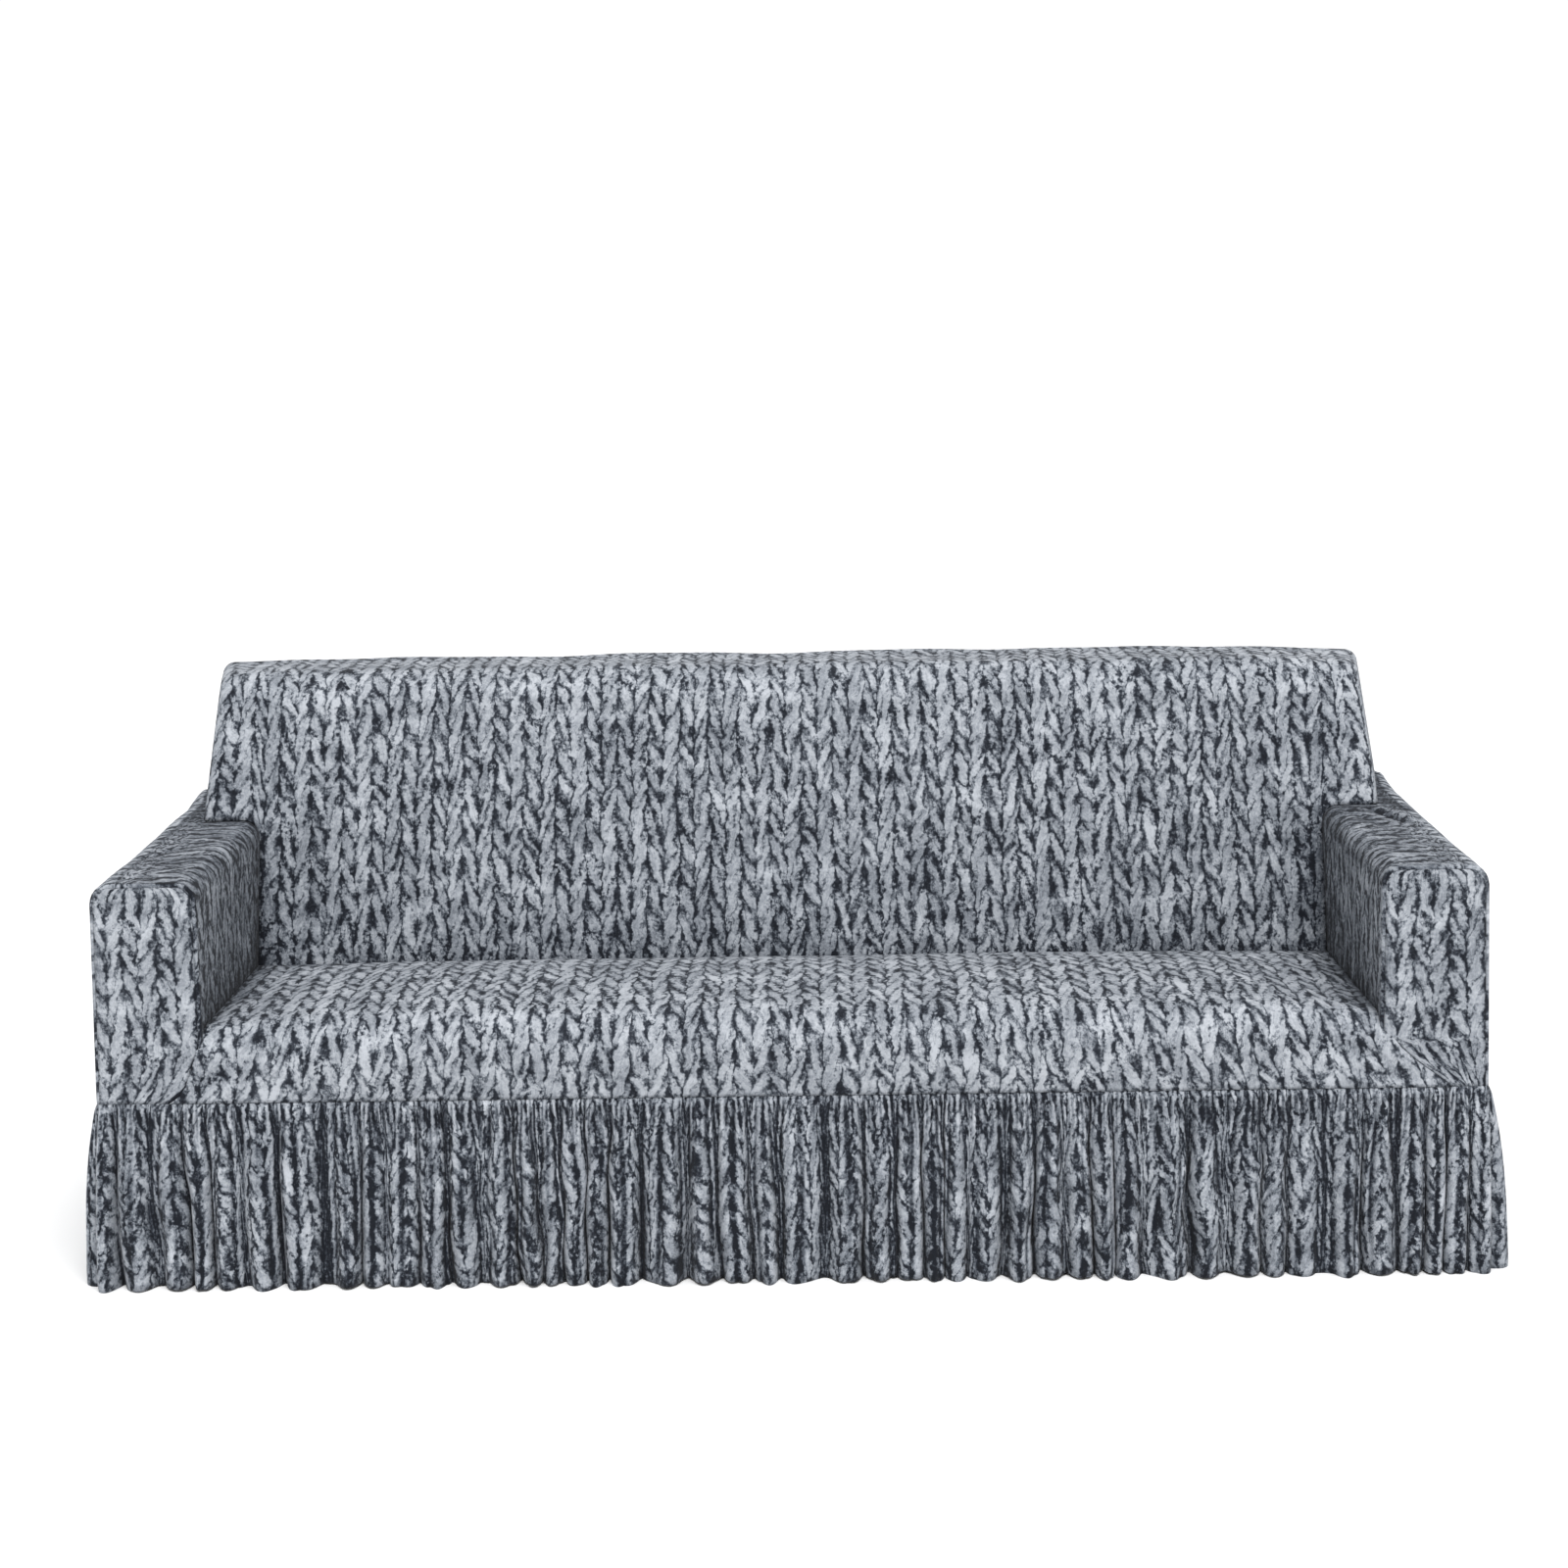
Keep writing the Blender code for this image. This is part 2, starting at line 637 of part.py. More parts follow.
def skirt(name):
    """One gathered length of the skirt, from the middle of a corner to the middle of the next."""
    names = list(SEAM_PATH)
    length, radius = SEAM_PATH[name][2:]
    before = SEAM_PATH[names[names.index(name) - 1]][3]
    first = -turn_length(before) / 2 + SEAM_GAP
    last = length + turn_length(radius) / 2 - SEAM_GAP
    columns = skirt_columns(name)
    lift_waves = round(FOLDS[name] * FOLD_DRIFT[1][0])

    def point_at(column, row):
        share = columns[column]
        drop = SKIRT_ROWS[len(SKIRT_ROWS) - 1 - row]
        x, y, facing_x, facing_y = place_on_path(name, mix(first, last, share))
        reach = skirt_reach(name, share, drop)
        lift = HEM_LIFT * math.sin(math.pi * lift_waves * share) ** 2 * drop
        return x + reach * facing_x, y + reach * facing_y, SEAM_HEIGHT * (1 - drop) + lift

    return cloth_panel("skirt_" + name, len(columns) - 1, len(SKIRT_ROWS) - 1, point_at)


clear_scene()
cover = new_collection("sofa_slipcover")
seat_panel()
back_inside()
back_outside()
for cover_side in SIDE_NAMES:
    back_side(cover_side)
    arm_wrap(cover_side)
    arm_front(cover_side)
for skirt_name in SEAM_PATH:
    skirt(skirt_name)
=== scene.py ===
import math

import bmesh
import bpy
import numpy as np
from mathutils import Matrix, Vector


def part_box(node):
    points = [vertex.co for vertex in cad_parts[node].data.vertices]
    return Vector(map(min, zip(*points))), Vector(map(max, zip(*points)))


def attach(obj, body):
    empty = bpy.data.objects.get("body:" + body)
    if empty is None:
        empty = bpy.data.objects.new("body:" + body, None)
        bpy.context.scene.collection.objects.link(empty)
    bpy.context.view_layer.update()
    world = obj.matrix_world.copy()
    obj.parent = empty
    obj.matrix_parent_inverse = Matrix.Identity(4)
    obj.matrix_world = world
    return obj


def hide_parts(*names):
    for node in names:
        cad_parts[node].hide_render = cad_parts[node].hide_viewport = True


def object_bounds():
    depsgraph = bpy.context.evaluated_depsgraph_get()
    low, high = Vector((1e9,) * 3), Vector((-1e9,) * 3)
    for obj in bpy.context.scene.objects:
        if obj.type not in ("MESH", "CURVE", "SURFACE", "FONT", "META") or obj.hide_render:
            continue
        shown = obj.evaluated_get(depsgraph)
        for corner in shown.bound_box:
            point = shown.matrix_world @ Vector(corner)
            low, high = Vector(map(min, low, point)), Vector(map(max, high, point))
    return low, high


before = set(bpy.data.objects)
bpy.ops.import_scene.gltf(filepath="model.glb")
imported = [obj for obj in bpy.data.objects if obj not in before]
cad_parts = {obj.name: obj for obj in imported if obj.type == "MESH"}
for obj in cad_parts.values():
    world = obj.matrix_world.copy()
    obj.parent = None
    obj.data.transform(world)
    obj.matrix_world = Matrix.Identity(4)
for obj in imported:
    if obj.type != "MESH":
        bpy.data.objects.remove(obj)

cad_low, cad_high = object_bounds()
bpy.ops.object.select_all(action="DESELECT")


# Camera. It stands in front of the middle of the cover and higher than its back, with a long
# lens, and looks down a little. Its horizon is about one degree off level.
LENS_MM = 65.835
SENSOR_MM = 36.0
CAMERA_PLACE = Vector((0.047, -4.6535, 1.417))
CAMERA_TURN = math.radians(0.67)
CAMERA_TILT = math.radians(-8.82)
CAMERA_ROLL = math.radians(-0.95)

camera = bpy.data.objects.new("camera", bpy.data.cameras.new("camera"))
bpy.context.scene.collection.objects.link(camera)
bpy.context.scene.camera = camera
camera.data.lens = LENS_MM
camera.data.sensor_width = SENSOR_MM
bpy.context.scene.view_settings.view_transform = "Standard"
aim = Matrix.Rotation(CAMERA_TURN, 4, "Z") @ Matrix.Rotation(math.pi / 2 + CAMERA_TILT, 4, "X")
camera.matrix_world = Matrix.Translation(CAMERA_PLACE) @ aim @ Matrix.Rotation(CAMERA_ROLL, 4, "Z")


# Studio. A white floor that runs out of sight, a sky that is white round its rim and dimmer
# overhead, and one broad soft light from over the camera, so that inner sides and hollows fall dark.
FLOOR_SIZE = 60.0
FLOOR_COLOUR = (0.95, 0.95, 0.95, 1)
FLOOR_ROUGHNESS = 0.9
KEY_POWER = 2.9
KEY_SPREAD = math.radians(40.0)
KEY_HEIGHT = math.radians(62.0)
KEY_TURN = math.radians(10.0)
SKY_TONES = (
    # height of the sky, from 0 at the horizon to 1 overhead, and its brightness
    (0.18, 1.05),
    (0.50, 0.40),
)

bpy.ops.mesh.primitive_plane_add(size=FLOOR_SIZE, location=(0, 0, cad_low.z))
floor = bpy.context.object
floor.name = "studio_floor"
floor_paint = bpy.data.materials.new("floor_paint")
floor_paint.use_nodes = True
floor_shader = floor_paint.node_tree.nodes["Principled BSDF"]
floor_shader.inputs["Base Color"].default_value = FLOOR_COLOUR
floor_shader.inputs["Roughness"].default_value = FLOOR_ROUGHNESS
floor.data.materials.append(floor_paint)

world = bpy.data.worlds.new("sky")
world.use_nodes = True
sky = world.node_tree
direction = sky.nodes.new("ShaderNodeTexCoord")
up = sky.nodes.new("ShaderNodeSeparateXYZ")
brightness = sky.nodes.new("ShaderNodeValToRGB")
for stop, (sky_height, tone) in zip(brightness.color_ramp.elements, SKY_TONES):
    stop.position = sky_height
    stop.color = (tone, tone, tone, 1)
sky.links.new(direction.outputs["Generated"], up.inputs["Vector"])
sky.links.new(up.outputs["Z"], brightness.inputs["Fac"])
sky.links.new(brightness.outputs["Color"], sky.nodes["Background"].inputs["Color"])
bpy.context.scene.world = world

key_data = bpy.data.lights.new("key_light", "SUN")
key_data.energy = KEY_POWER
key_data.angle = KEY_SPREAD
key_light = bpy.data.objects.new("key_light", key_data)
bpy.context.scene.collection.objects.link(key_light)
key_light.rotation_euler = (math.pi / 2 - KEY_HEIGHT, 0, KEY_TURN)


# Seat. One length of printed stretch knit covers the seat from the crease at the back, over the
# rounded front edge and down to the skirt. It is crowned in the middle, pulled down towards both
# arms, and its lower corners are drawn out under the arms' fronts.
CLOTH = 0.002
SEAM_GAP = 0.0003
SEAM_SINK = 0.0007  # how far a sewn edge is drawn in
SEAM_WIDTH = 0.006
# Painted shade: a thin dark line along each seam, and darkening in the troughs of creases
SEAM_SHADE = 0.15
SEAM_SHADE_WIDTH = 0.004
CREASE_SHADE = 90.0  # painted shade for each metre that a crease is deep
CREASE_ENDS = (0.12, 0.88)  # part of a half wave that a crease's depth follows
LUMP_SPACING = 0.16  # between the hollows of an uneven surface
LUMP_WAVES = 7
LUMP_LENGTHS = (0.8, 1.8)  # shortest and longest wave for each spacing
LUMP_LEVEL = 4  # brings the waves' sum to about -1 to 1
LUMP_EDGE = 0.03  # distance from a seam over which a surface becomes uneven
PRINT_START = 20.0  # keeps the print's own coordinates positive, in metres
ARM_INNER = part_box("arm_wrap_right")[0].x
SEAM_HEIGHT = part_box("skirt_front")[1].z
DEPTH = 2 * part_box("back_inside")[1].y
SEAT_HEIGHT = 0.400
SEAT_EDGE_RADIUS = 0.036
SEAT_CROWN = 0.034
CROWN_LEAN = 0.8  # power that brings the top of the crown forward
CROWN_FULLNESS = 0.7
SEAT_BULGE = 0.009
BULGE_ARC = 0.75  # part of a half wave that the bulge follows from the seam to the seat's top
SEAT_SQUARENESS = 6
SEAT_UNEVENNESS = 0.0015
SEAT_OVERLAP = 0.0015  # how far its lower corners stand in front of the arms
OVERLAP_RAMP = 0.004
SEAT_PULL = 0.35  # how far the print is drawn out with the lower corners
# Painted shade on the seat, dark towards the crease at the back and beside the arms
SEAT_REAR_SHADE = 0.7
SEAT_REAR_REACH = 0.022
SEAT_SIDE_SHADE = 0.5
SEAT_SIDE_REACH = 0.028
SEAT_SIDE_ONSET = (0.01, 0.06)
APRON_ROWS = 14
SEAT_EDGE_ROWS = 9
SEAT_ROWS = 60
SEAT_COLUMNS = 240
SEAT_CROWDING = 0.9  # draws columns towards the arms and rows a little towards the back
BACK_FOOT_HEIGHT = 0.389
BACK_FOOT_DEPTH = 0.452
BACK_LEAN = 0.33
BACK_SWELL = 0.010
BACK_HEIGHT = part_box("back_inside")[1].z
APRON_SEAM = (
    # height over the skirt seam, how far the seam has moved out on the left and on the right
    (0.000, 0.055, 0.110),
    (0.010, 0.040, 0.099),
    (0.024, 0.030, 0.080),
    (0.043, 0.022, 0.054),
    (0.061, 0.016, 0.034),
    (0.080, 0.011, 0.019),
    (0.098, 0.008, 0.009),
    (0.106, 0.002, 0.002),
    (0.112, 0.000, 0.000),
)
SEAT_CREASES = (
    # start, end, width, depth
    ((0.93, 0.0, 0.315), (0.80, 0.0, 0.365), 0.010, 0.005),
    ((0.95, 0.0, 0.300), (0.84, 0.0, 0.318), 0.009, 0.004),
    ((0.90, 0.0, 0.335), (0.82, 0.01, 0.392), 0.009, -0.003),
    ((-0.92, 0.0, 0.300), (-0.84, 0.0, 0.350), 0.012, 0.004),
)


class Socket:
    """A socket of a material's nodes. Sums with it add the nodes that work them out."""

    def __init__(self, tree, link):
        self.tree = tree
        self.link = link

    def node(self, kind, inputs, output=0, stops=(), **settings):
        """Adds a node with its settings and a colour ramp's stops, then its sockets."""
        node = self.tree.nodes.new("ShaderNode" + kind)
        for setting, value in settings.items():
            setattr(node, setting, value)
        for _ in stops[2:]:
            node.color_ramp.elements.new(1.0)
        for number, (place, colour) in enumerate(stops):
            node.color_ramp.elements[number].position = place
            node.color_ramp.elements[number].color = colour
        for name, value in inputs.items():
            if isinstance(value, Socket):
                self.tree.links.new(value.link, node.inputs[name])
            else:
                node.inputs[name].default_value = value
        return Socket(self.tree, node.outputs[output])

    def maths(self, operation, *values):
        return self.node("Math", dict(enumerate(values)), operation=operation)

    def __add__(self, other):
        return self.maths("ADD", self, other)

    __radd__ = __add__

    def __sub__(self, other):
        return self.maths("SUBTRACT", self, other)

    def __rsub__(self, other):
        return self.maths("SUBTRACT", other, self)

    def __mul__(self, other):
        return self.maths("MULTIPLY", self, other)

    __rmul__ = __mul__

    def __truediv__(self, other):
        return self.maths("DIVIDE", self, other)

    def __pow__(self, other):
        return self.maths("POWER", self, other)

    def __mod__(self, other):
        return self.maths("FLOORED_MODULO", self, other)

    def __abs__(self):
        return self.maths("ABSOLUTE", self)

    def floor(self):
        return self.maths("FLOOR", self)

    def noise(self, scale, detail=2.0, roughness=0.5):
        """Noise between about -0.5 and 0.5, with self as its place."""
        sizes = {"Vector": self, "Scale": scale, "Detail": detail, "Roughness": roughness}
        return self.node("TexNoise", sizes, "Fac") - 0.5

    def point(self, x, y, z):
        return self.node("CombineXYZ", {"X": x, "Y": y, "Z": z})

    def chance(self, row, column):
        """A number from 0 to 1 that is the same all over one cell."""
        cell = self.point(row, column, 0.0)
        return self.node("TexWhiteNoise", {"Vector": cell}, "Value", noise_dimensions="2D")

    def step(self, low, high):
        """0 below low and 1 over high, with a soft change between them."""
        limits = {"Value": self, "From Min": low, "From Max": high}
        return self.node("MapRange", limits, interpolation_type="SMOOTHSTEP")


# The print is of thick knitting: columns of V-shaped stitches, each with two legs that lean
# towards its middle. It is in light blue-grey yarn on charcoal, smudged and clouded all over.
# Names with RIGHT say how a stitch's right leg differs, and names with CHANCE how far legs vary.
LEG_WIDTH = 0.0258
STITCH_HEIGHT = 0.049
KNIT_COLOURS = (
    (0.0, (0.008, 0.010, 0.015, 1)),
    (0.25, (0.028, 0.033, 0.044, 1)),
    (0.5, (0.115, 0.130, 0.153, 1)),
    (0.75, (0.280, 0.302, 0.336, 1)),
    (1.0, (0.47, 0.495, 0.535, 1)),
)
COLUMN_CURL = 0.6
ROW_DRIFT = 2.4
ROW_BEND = 0.5
LEG_SLOPE = 0.95
RIGHT_STEEPER = 0.45
SLOPE_CHANCE = 0.3
START_CHANCE = 0.4
LEAF_LEAN = 0.9  # power that brings a leg's widest place towards the middle of its stitch
LEAF_BLUNTNESS = 0.7
RIGHT_BLUNTER = 0.12
HALF_LENGTH = 0.36  # of a leg, for each stitch's height
RIGHT_LONGER = 0.05
LENGTH_CHANCE = 0.20
RIGHT_STRETCH = 0.10
EDGE_CRISPNESS = 1.5
EDGE_FUZZ = 0.7
EDGE_GRAIN = 0.9
EDGE_STRAND = 0.55
EDGE_SMUDGE = 0.7
CLUSTER_EDGES = (-0.05, 0.16)  # clusters are patches where a leg's outline is rougher
CLUSTER_FUZZ = 1.1
CLUSTER_GRAIN = 0.6
LEG_EDGES = (-0.44, 0.47)
GROUND_LIGHT = 0.135
LEG_LIGHT = 0.605
LIGHT_CHANCE = 0.14
STRAND_LIGHT = 0.6
GRAIN_LIGHT = 0.5
SHADED_GRAIN = 0.8
CLOUD_LIGHT = 0.55
SMUDGE_LIGHT = 0.5
SHADE_DEPTH = 0.62  # how far the painted shade of a hollow moves the print down through its colours
LEG_RELIEF = 0.6  # against the relief of the jersey itself


def printed_knit(name):
    material = bpy.data.materials.new(name)
    material.use_nodes = True
    tree = material.node_tree
    shader = tree.nodes["Principled BSDF"]
    place = Socket(tree, tree.nodes.new("ShaderNodeUVMap").outputs["UV"])
    cloth = Socket(tree, tree.nodes.new("ShaderNodeTexCoord").outputs["Object"])
    across = place.node("SeparateXYZ", {"Vector": place}, "X")
    along = place.node("SeparateXYZ", {"Vector": place}, "Y")

    # Where a point lies in its leg of a stitch, on a print that is never quite straight. The last
    # number of a noise's place, and of a chance's, only makes it unlike the others.
    sway = place.noise(7.0)
    drift = place.point(along, across, 3.0).noise(9.0)
    curl = place.noise(45.0)
    legs = across / LEG_WIDTH + sway + curl * COLUMN_CURL
    column = legs.floor()
    within = legs - column
    right = column % 2.0
    from_middle = right * within + (1.0 - right) * (1.0 - within)
    lean = 1.0 - 2.0 * right
    slope = LEG_SLOPE + right * RIGHT_STEEPER + place.chance(column, 0.7) * SLOPE_CHANCE
    start = place.chance((column / 2.0).floor(), 0.3) + place.chance(column, 5.3) * START_CHANCE
    bend = place.point(across, along, 5.0).noise(60.0, 1.0)
    stitches = along / STITCH_HEIGHT + drift * ROW_DRIFT + lean * slope * (within - 0.5)
    stitches = stitches + start + bend * ROW_BEND
    row = stitches.floor()
    rise = stitches - row

    # The leg is a leaf, pointed at both ends, with a ragged outline and strands along it
    leaf_shape = (1.0 - abs(2.0 * from_middle**LEAF_LEAN - 1.0) ** 2.0) ** LEAF_BLUNTNESS
    strand_place = place.point(stitches * 6.0 + within * 1.2, within * 2.2, column * 7.1 + 0.5)
    strand = strand_place.noise(2.0, 4.0, 0.72)
    fuzz = place.point(across * 1.4, along, 2.0).noise(115.0, 2.0, 0.5)
    smudge = place.point(across, along, 7.0).noise(34.0, 2.0, 0.6)
    leaf_shape = leaf_shape + right * RIGHT_BLUNTER * (1.0 - leaf_shape)
    cluster = place.point(across, along, 4.0).noise(22.0, 1.0).step(*CLUSTER_EDGES)
    half_length = HALF_LENGTH + RIGHT_LONGER * right + LENGTH_CHANCE * place.chance(column, row)
    edge = half_length * leaf_shape - abs(rise - 0.5) * (1.0 - RIGHT_STRETCH * right)
    grain = cloth.noise(210.0, 3.0, 0.65)
    ragged = fuzz * (EDGE_FUZZ + CLUSTER_FUZZ * cluster) + grain * (EDGE_GRAIN + CLUSTER_GRAIN * cluster)
    leg = edge * EDGE_CRISPNESS + ragged + strand * EDGE_STRAND + smudge * EDGE_SMUDGE
    leg = leg.step(*LEG_EDGES)

    # Its tone changes from leg to leg and along the yarn. Painted shade from the cloth's shade attribute
    # darkens it where the cloth lies in a hollow, and brings out its grain there
    cloud = place.point(across, along, 9.0).noise(12.0)
    tone = place.chance(row, column + 0.37)
    shade = Socket(tree, tree.nodes.new("ShaderNodeAttribute").outputs["Fac"])
    shade.link.node.attribute_name = "shade"
    light = GROUND_LIGHT + leg * (LEG_LIGHT + LIGHT_CHANCE * tone) + strand * leg * STRAND_LIGHT
    light = light + grain * (GRAIN_LIGHT + shade * SHADED_GRAIN)
    light = light + cloud * CLOUD_LIGHT + smudge * SMUDGE_LIGHT
    light = light - shade * SHADE_DEPTH
    colour = place.node("ValToRGB", {"Fac": light}, "Color", stops=KNIT_COLOURS)
    tree.links.new(colour.link, shader.inputs["Base Color"])

    # The cloth itself is a fine jersey, matt, with a slight nap
    shader.inputs["Roughness"].default_value = 0.92
    shader.inputs["Specular IOR Level"].default_value = 0.2
    shader.inputs["Sheen Weight"].default_value = 0.05
    shader.inputs["Sheen Roughness"].default_value = 0.5
    height = place.noise(700.0, 1.0) + leg * LEG_RELIEF
    relief = place.node("Bump", {"Height": height, "Strength": 0.25, "Distance": 0.0012})
    tree.links.new(relief.link, shader.inputs["Normal"])
    return material


KNIT = printed_knit("printed_knit")


def share_of(value, start, end):
    """Where value lies between start and end, from 0 to 1."""
    return np.clip((value - start) / (end - start), 0.0, 1.0)


def mix(start, end, share):
    return start + (end - start) * share


def facing(points):
    """The outward direction at each point of a grid."""
    normals = np.cross(np.gradient(points, axis=1), np.gradient(points, axis=0))
    return normals / np.maximum(np.linalg.norm(normals, axis=-1, keepdims=True), 1e-9)


def lengths(points, axis):
    """How far along a grid each point lies, in metres of cloth."""
    steps = np.linalg.norm(np.diff(points, axis=axis), axis=-1)
    return np.cumsum(np.insert(steps, 0, 0.0, axis=axis), axis=axis)


def lumps(points, seed):
    """Soft random unevenness from about -1 to 1."""
    draw = np.random.default_rng(seed)
    total = np.zeros(points.shape[:-1])
    for _ in range(LUMP_WAVES):
        direction = draw.normal(size=3)
        wave = LUMP_SPACING * draw.uniform(*LUMP_LENGTHS)
        direction *= 2 * math.pi / (wave * np.linalg.norm(direction))
        total += np.sin(points @ direction + draw.uniform(0, 2 * math.pi))
    return total / LUMP_LEVEL


def creased(points, normals, creases):
    """Presses soft troughs into a grid, or raises ridges where a depth is negative."""
    hollow = np.zeros(points.shape[:-1])
    for start, end, width, depth in creases:
        start, end = np.array(start), np.array(end)
        run = end - start
        share = np.clip((points - start) @ run / (run @ run), 0.0, 1.0)
        distance = np.linalg.norm(points - (start + share[..., None] * run), axis=-1)
        pressed = depth * np.exp(-((distance / width) ** 2))
        pressed = pressed * np.sin(math.pi * mix(*CREASE_ENDS, share))
        points = points - normals * pressed[..., None]
        hollow += pressed
    return points, hollow


def sewn_sheet(
    name,
    points,
    side=1,
    creases=(),
    unevenness=0.0,
    left_out=None,
    shade=0.0,
    print_x=None,
    print_rise=1.0,
):
    """Makes a sheet of cloth from a grid of points, rows up and columns to the right.

    Y is counted from the arms' fronts. side is -1 where the grid faces inwards. shade is the painted
    shade, how dark each point lies, to which the sheet adds painted shade along its seams and in its
    creases. print_x gives the print's place across, where the cloth is stretched or gathered, and
    otherwise the print runs true along the middle row. print_rise is how much print there is to each
    length up the middle column.
    """
    rows, columns = points.shape[0] - 1, points.shape[1] - 1
    normals = facing(points) * side
    true_x, true_y = lengths(points, 1), lengths(points, 0)
    edge = np.minimum(true_x, true_x[:, -1:] - true_x)
    edge = np.minimum(edge, np.minimum(true_y, true_y[-1:] - true_y))
    if print_x is None:
        print_x = true_x[rows // 2] - true_x[rows // 2, -1] / 2
    print_y = print_rise * true_y[:, columns // 2 : columns // 2 + 1]
    print_x, print_y = np.broadcast_arrays(side * print_x + PRINT_START, print_y + PRINT_START)
    points, hollow = creased(points, normals, creases)
    sink = SEAM_SINK * np.exp(-((edge / SEAM_WIDTH) ** 2))
    uneven = unevenness * lumps(points, len(name)) * (1 - np.exp(-((edge / LUMP_EDGE) ** 2)))
    points = points + normals * (uneven - sink)[..., None] - np.array((0.0, DEPTH / 2, 0.0))

    bpy.ops.mesh.primitive_grid_add(x_subdivisions=columns, y_subdivisions=rows, size=1)
    sheet = bpy.context.object
    sheet.name = name + "_cloth"
    sheet.data.name = name + "_cloth"
    sheet.data.vertices.foreach_set("co", points.reshape(-1))
    # Painted shade along the seams and in the creases' troughs is added to the given shade; a crease
    # raised into a ridge takes shade away
    seam_shade = SEAM_SHADE * np.exp(-((edge / SEAM_SHADE_WIDTH) ** 2))
    shades = np.clip(shade + seam_shade + CREASE_SHADE * hollow, 0.0, 1.0).astype(np.float32)
    sheet.data.attributes.new("shade", "FLOAT", "POINT").data.foreach_set("value", shades.reshape(-1))
    corners = np.empty(len(sheet.data.loops), dtype=np.int32)
    sheet.data.loops.foreach_get("vertex_index", corners)
    print_place = np.stack((print_x, print_y), axis=-1).reshape(-1, 2)
    sheet.data.uv_layers[0].data.foreach_set("uv", print_place[corners].reshape(-1))
    if left_out is not None:
        mesh = bmesh.new()
        mesh.from_mesh(sheet.data)
        mesh.faces.ensure_lookup_table()
        doomed = [mesh.faces[number] for number in np.flatnonzero(left_out.reshape(-1))]
        bmesh.ops.delete(mesh, geom=doomed, context="FACES")
        mesh.to_mesh(sheet.data)
        mesh.free()
    if side < 0:
        sheet.data.flip_normals()
    thickness = sheet.modifiers.new("cloth", "SOLIDIFY")
    thickness.thickness = CLOTH
    thickness.offset = -1.0
    bpy.ops.object.modifier_apply(modifier=thickness.name)
    sheet.data.shade_smooth()
    sheet.data.materials.append(KNIT)
    bpy.ops.object.select_all(action="DESELECT")
    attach(sheet, "root")
    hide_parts(name)
    return sheet


def back_face(z):
    """Depth of the back's front face at a height."""
    swell = BACK_SWELL * np.sin(math.pi * share_of(z, BACK_FOOT_HEIGHT, BACK_HEIGHT))
    return BACK_FOOT_DEPTH + BACK_LEAN * (z - BACK_FOOT_HEIGHT) - swell


seat_edge = SEAT_HEIGHT - SEAT_EDGE_RADIUS
seat_rear = float(back_face(SEAT_HEIGHT - 2 * CLOTH)) - SEAM_GAP
turn = np.linspace(0, math.pi / 2, SEAT_EDGE_ROWS + 1)[1:]
apron_z = np.linspace(SEAM_HEIGHT + SEAM_GAP, seat_edge, APRON_ROWS + 1)
seat_share = np.linspace(0, 1, SEAT_ROWS + 1)[1:] ** SEAT_CROWDING
seat_y = mix(SEAT_EDGE_RADIUS, seat_rear, seat_share)
section_y = np.concatenate((0 * apron_z, SEAT_EDGE_RADIUS * (1 - np.cos(turn)), seat_y))
turned_z = seat_edge + SEAT_EDGE_RADIUS * np.sin(turn)
section_z = np.concatenate((apron_z, turned_z, 0 * seat_y + SEAT_HEIGHT))
swung = np.linspace(-1, 1, SEAT_COLUMNS + 1) * math.pi / 2 * SEAT_CROWDING
seat_across = np.sin(swung) / math.sin(math.pi / 2 * SEAT_CROWDING)
across, y = np.meshgrid(seat_across, section_y)
z = np.meshgrid(seat_across, section_z)[1]
seam_heights, left_seam, right_seam = np.array(APRON_SEAM).T
moved = np.where(
    across < 0,
    np.interp(z - SEAM_HEIGHT, seam_heights, left_seam),
    np.interp(z - SEAM_HEIGHT, seam_heights, right_seam),
)
half_seat = ARM_INNER - SEAM_GAP + moved
sideways = 1 - np.abs(across) ** SEAT_SQUARENESS
back_share = share_of(y, 0.0, seat_rear)
crown = SEAT_CROWN * np.sin(math.pi * back_share**CROWN_LEAN) ** CROWN_FULLNESS * sideways
up_front = share_of(z, SEAM_HEIGHT, SEAT_HEIGHT)
bulge = SEAT_BULGE * np.sin(BULGE_ARC * math.pi * up_front) * sideways * (1 - back_share)
over_front = SEAT_OVERLAP * share_of(moved, 0.0, OVERLAP_RAMP) * (y <= 0)
seat_points = np.stack((across * half_seat, y - bulge - over_front, z + crown), axis=-1)
seat_print = mix(across * half_seat, across * (ARM_INNER - SEAM_GAP), SEAT_PULL)
# Painted shade: darker beside the arms and towards the crease at the back
beside_arm = np.exp(-half_seat * (1 - np.abs(across)) / SEAT_SIDE_REACH)
beside_arm = beside_arm * share_of(y, *SEAT_SIDE_ONSET)
seat_shade = SEAT_REAR_SHADE * np.exp(-(seat_rear - y) / SEAT_REAR_REACH)
seat_shade = seat_shade + SEAT_SIDE_SHADE * beside_arm
sewn_sheet(
    "seat_panel",
    seat_points,
    creases=SEAT_CREASES,
    unevenness=SEAT_UNEVENNESS,
    shade=seat_shade,
    print_x=seat_print,
)


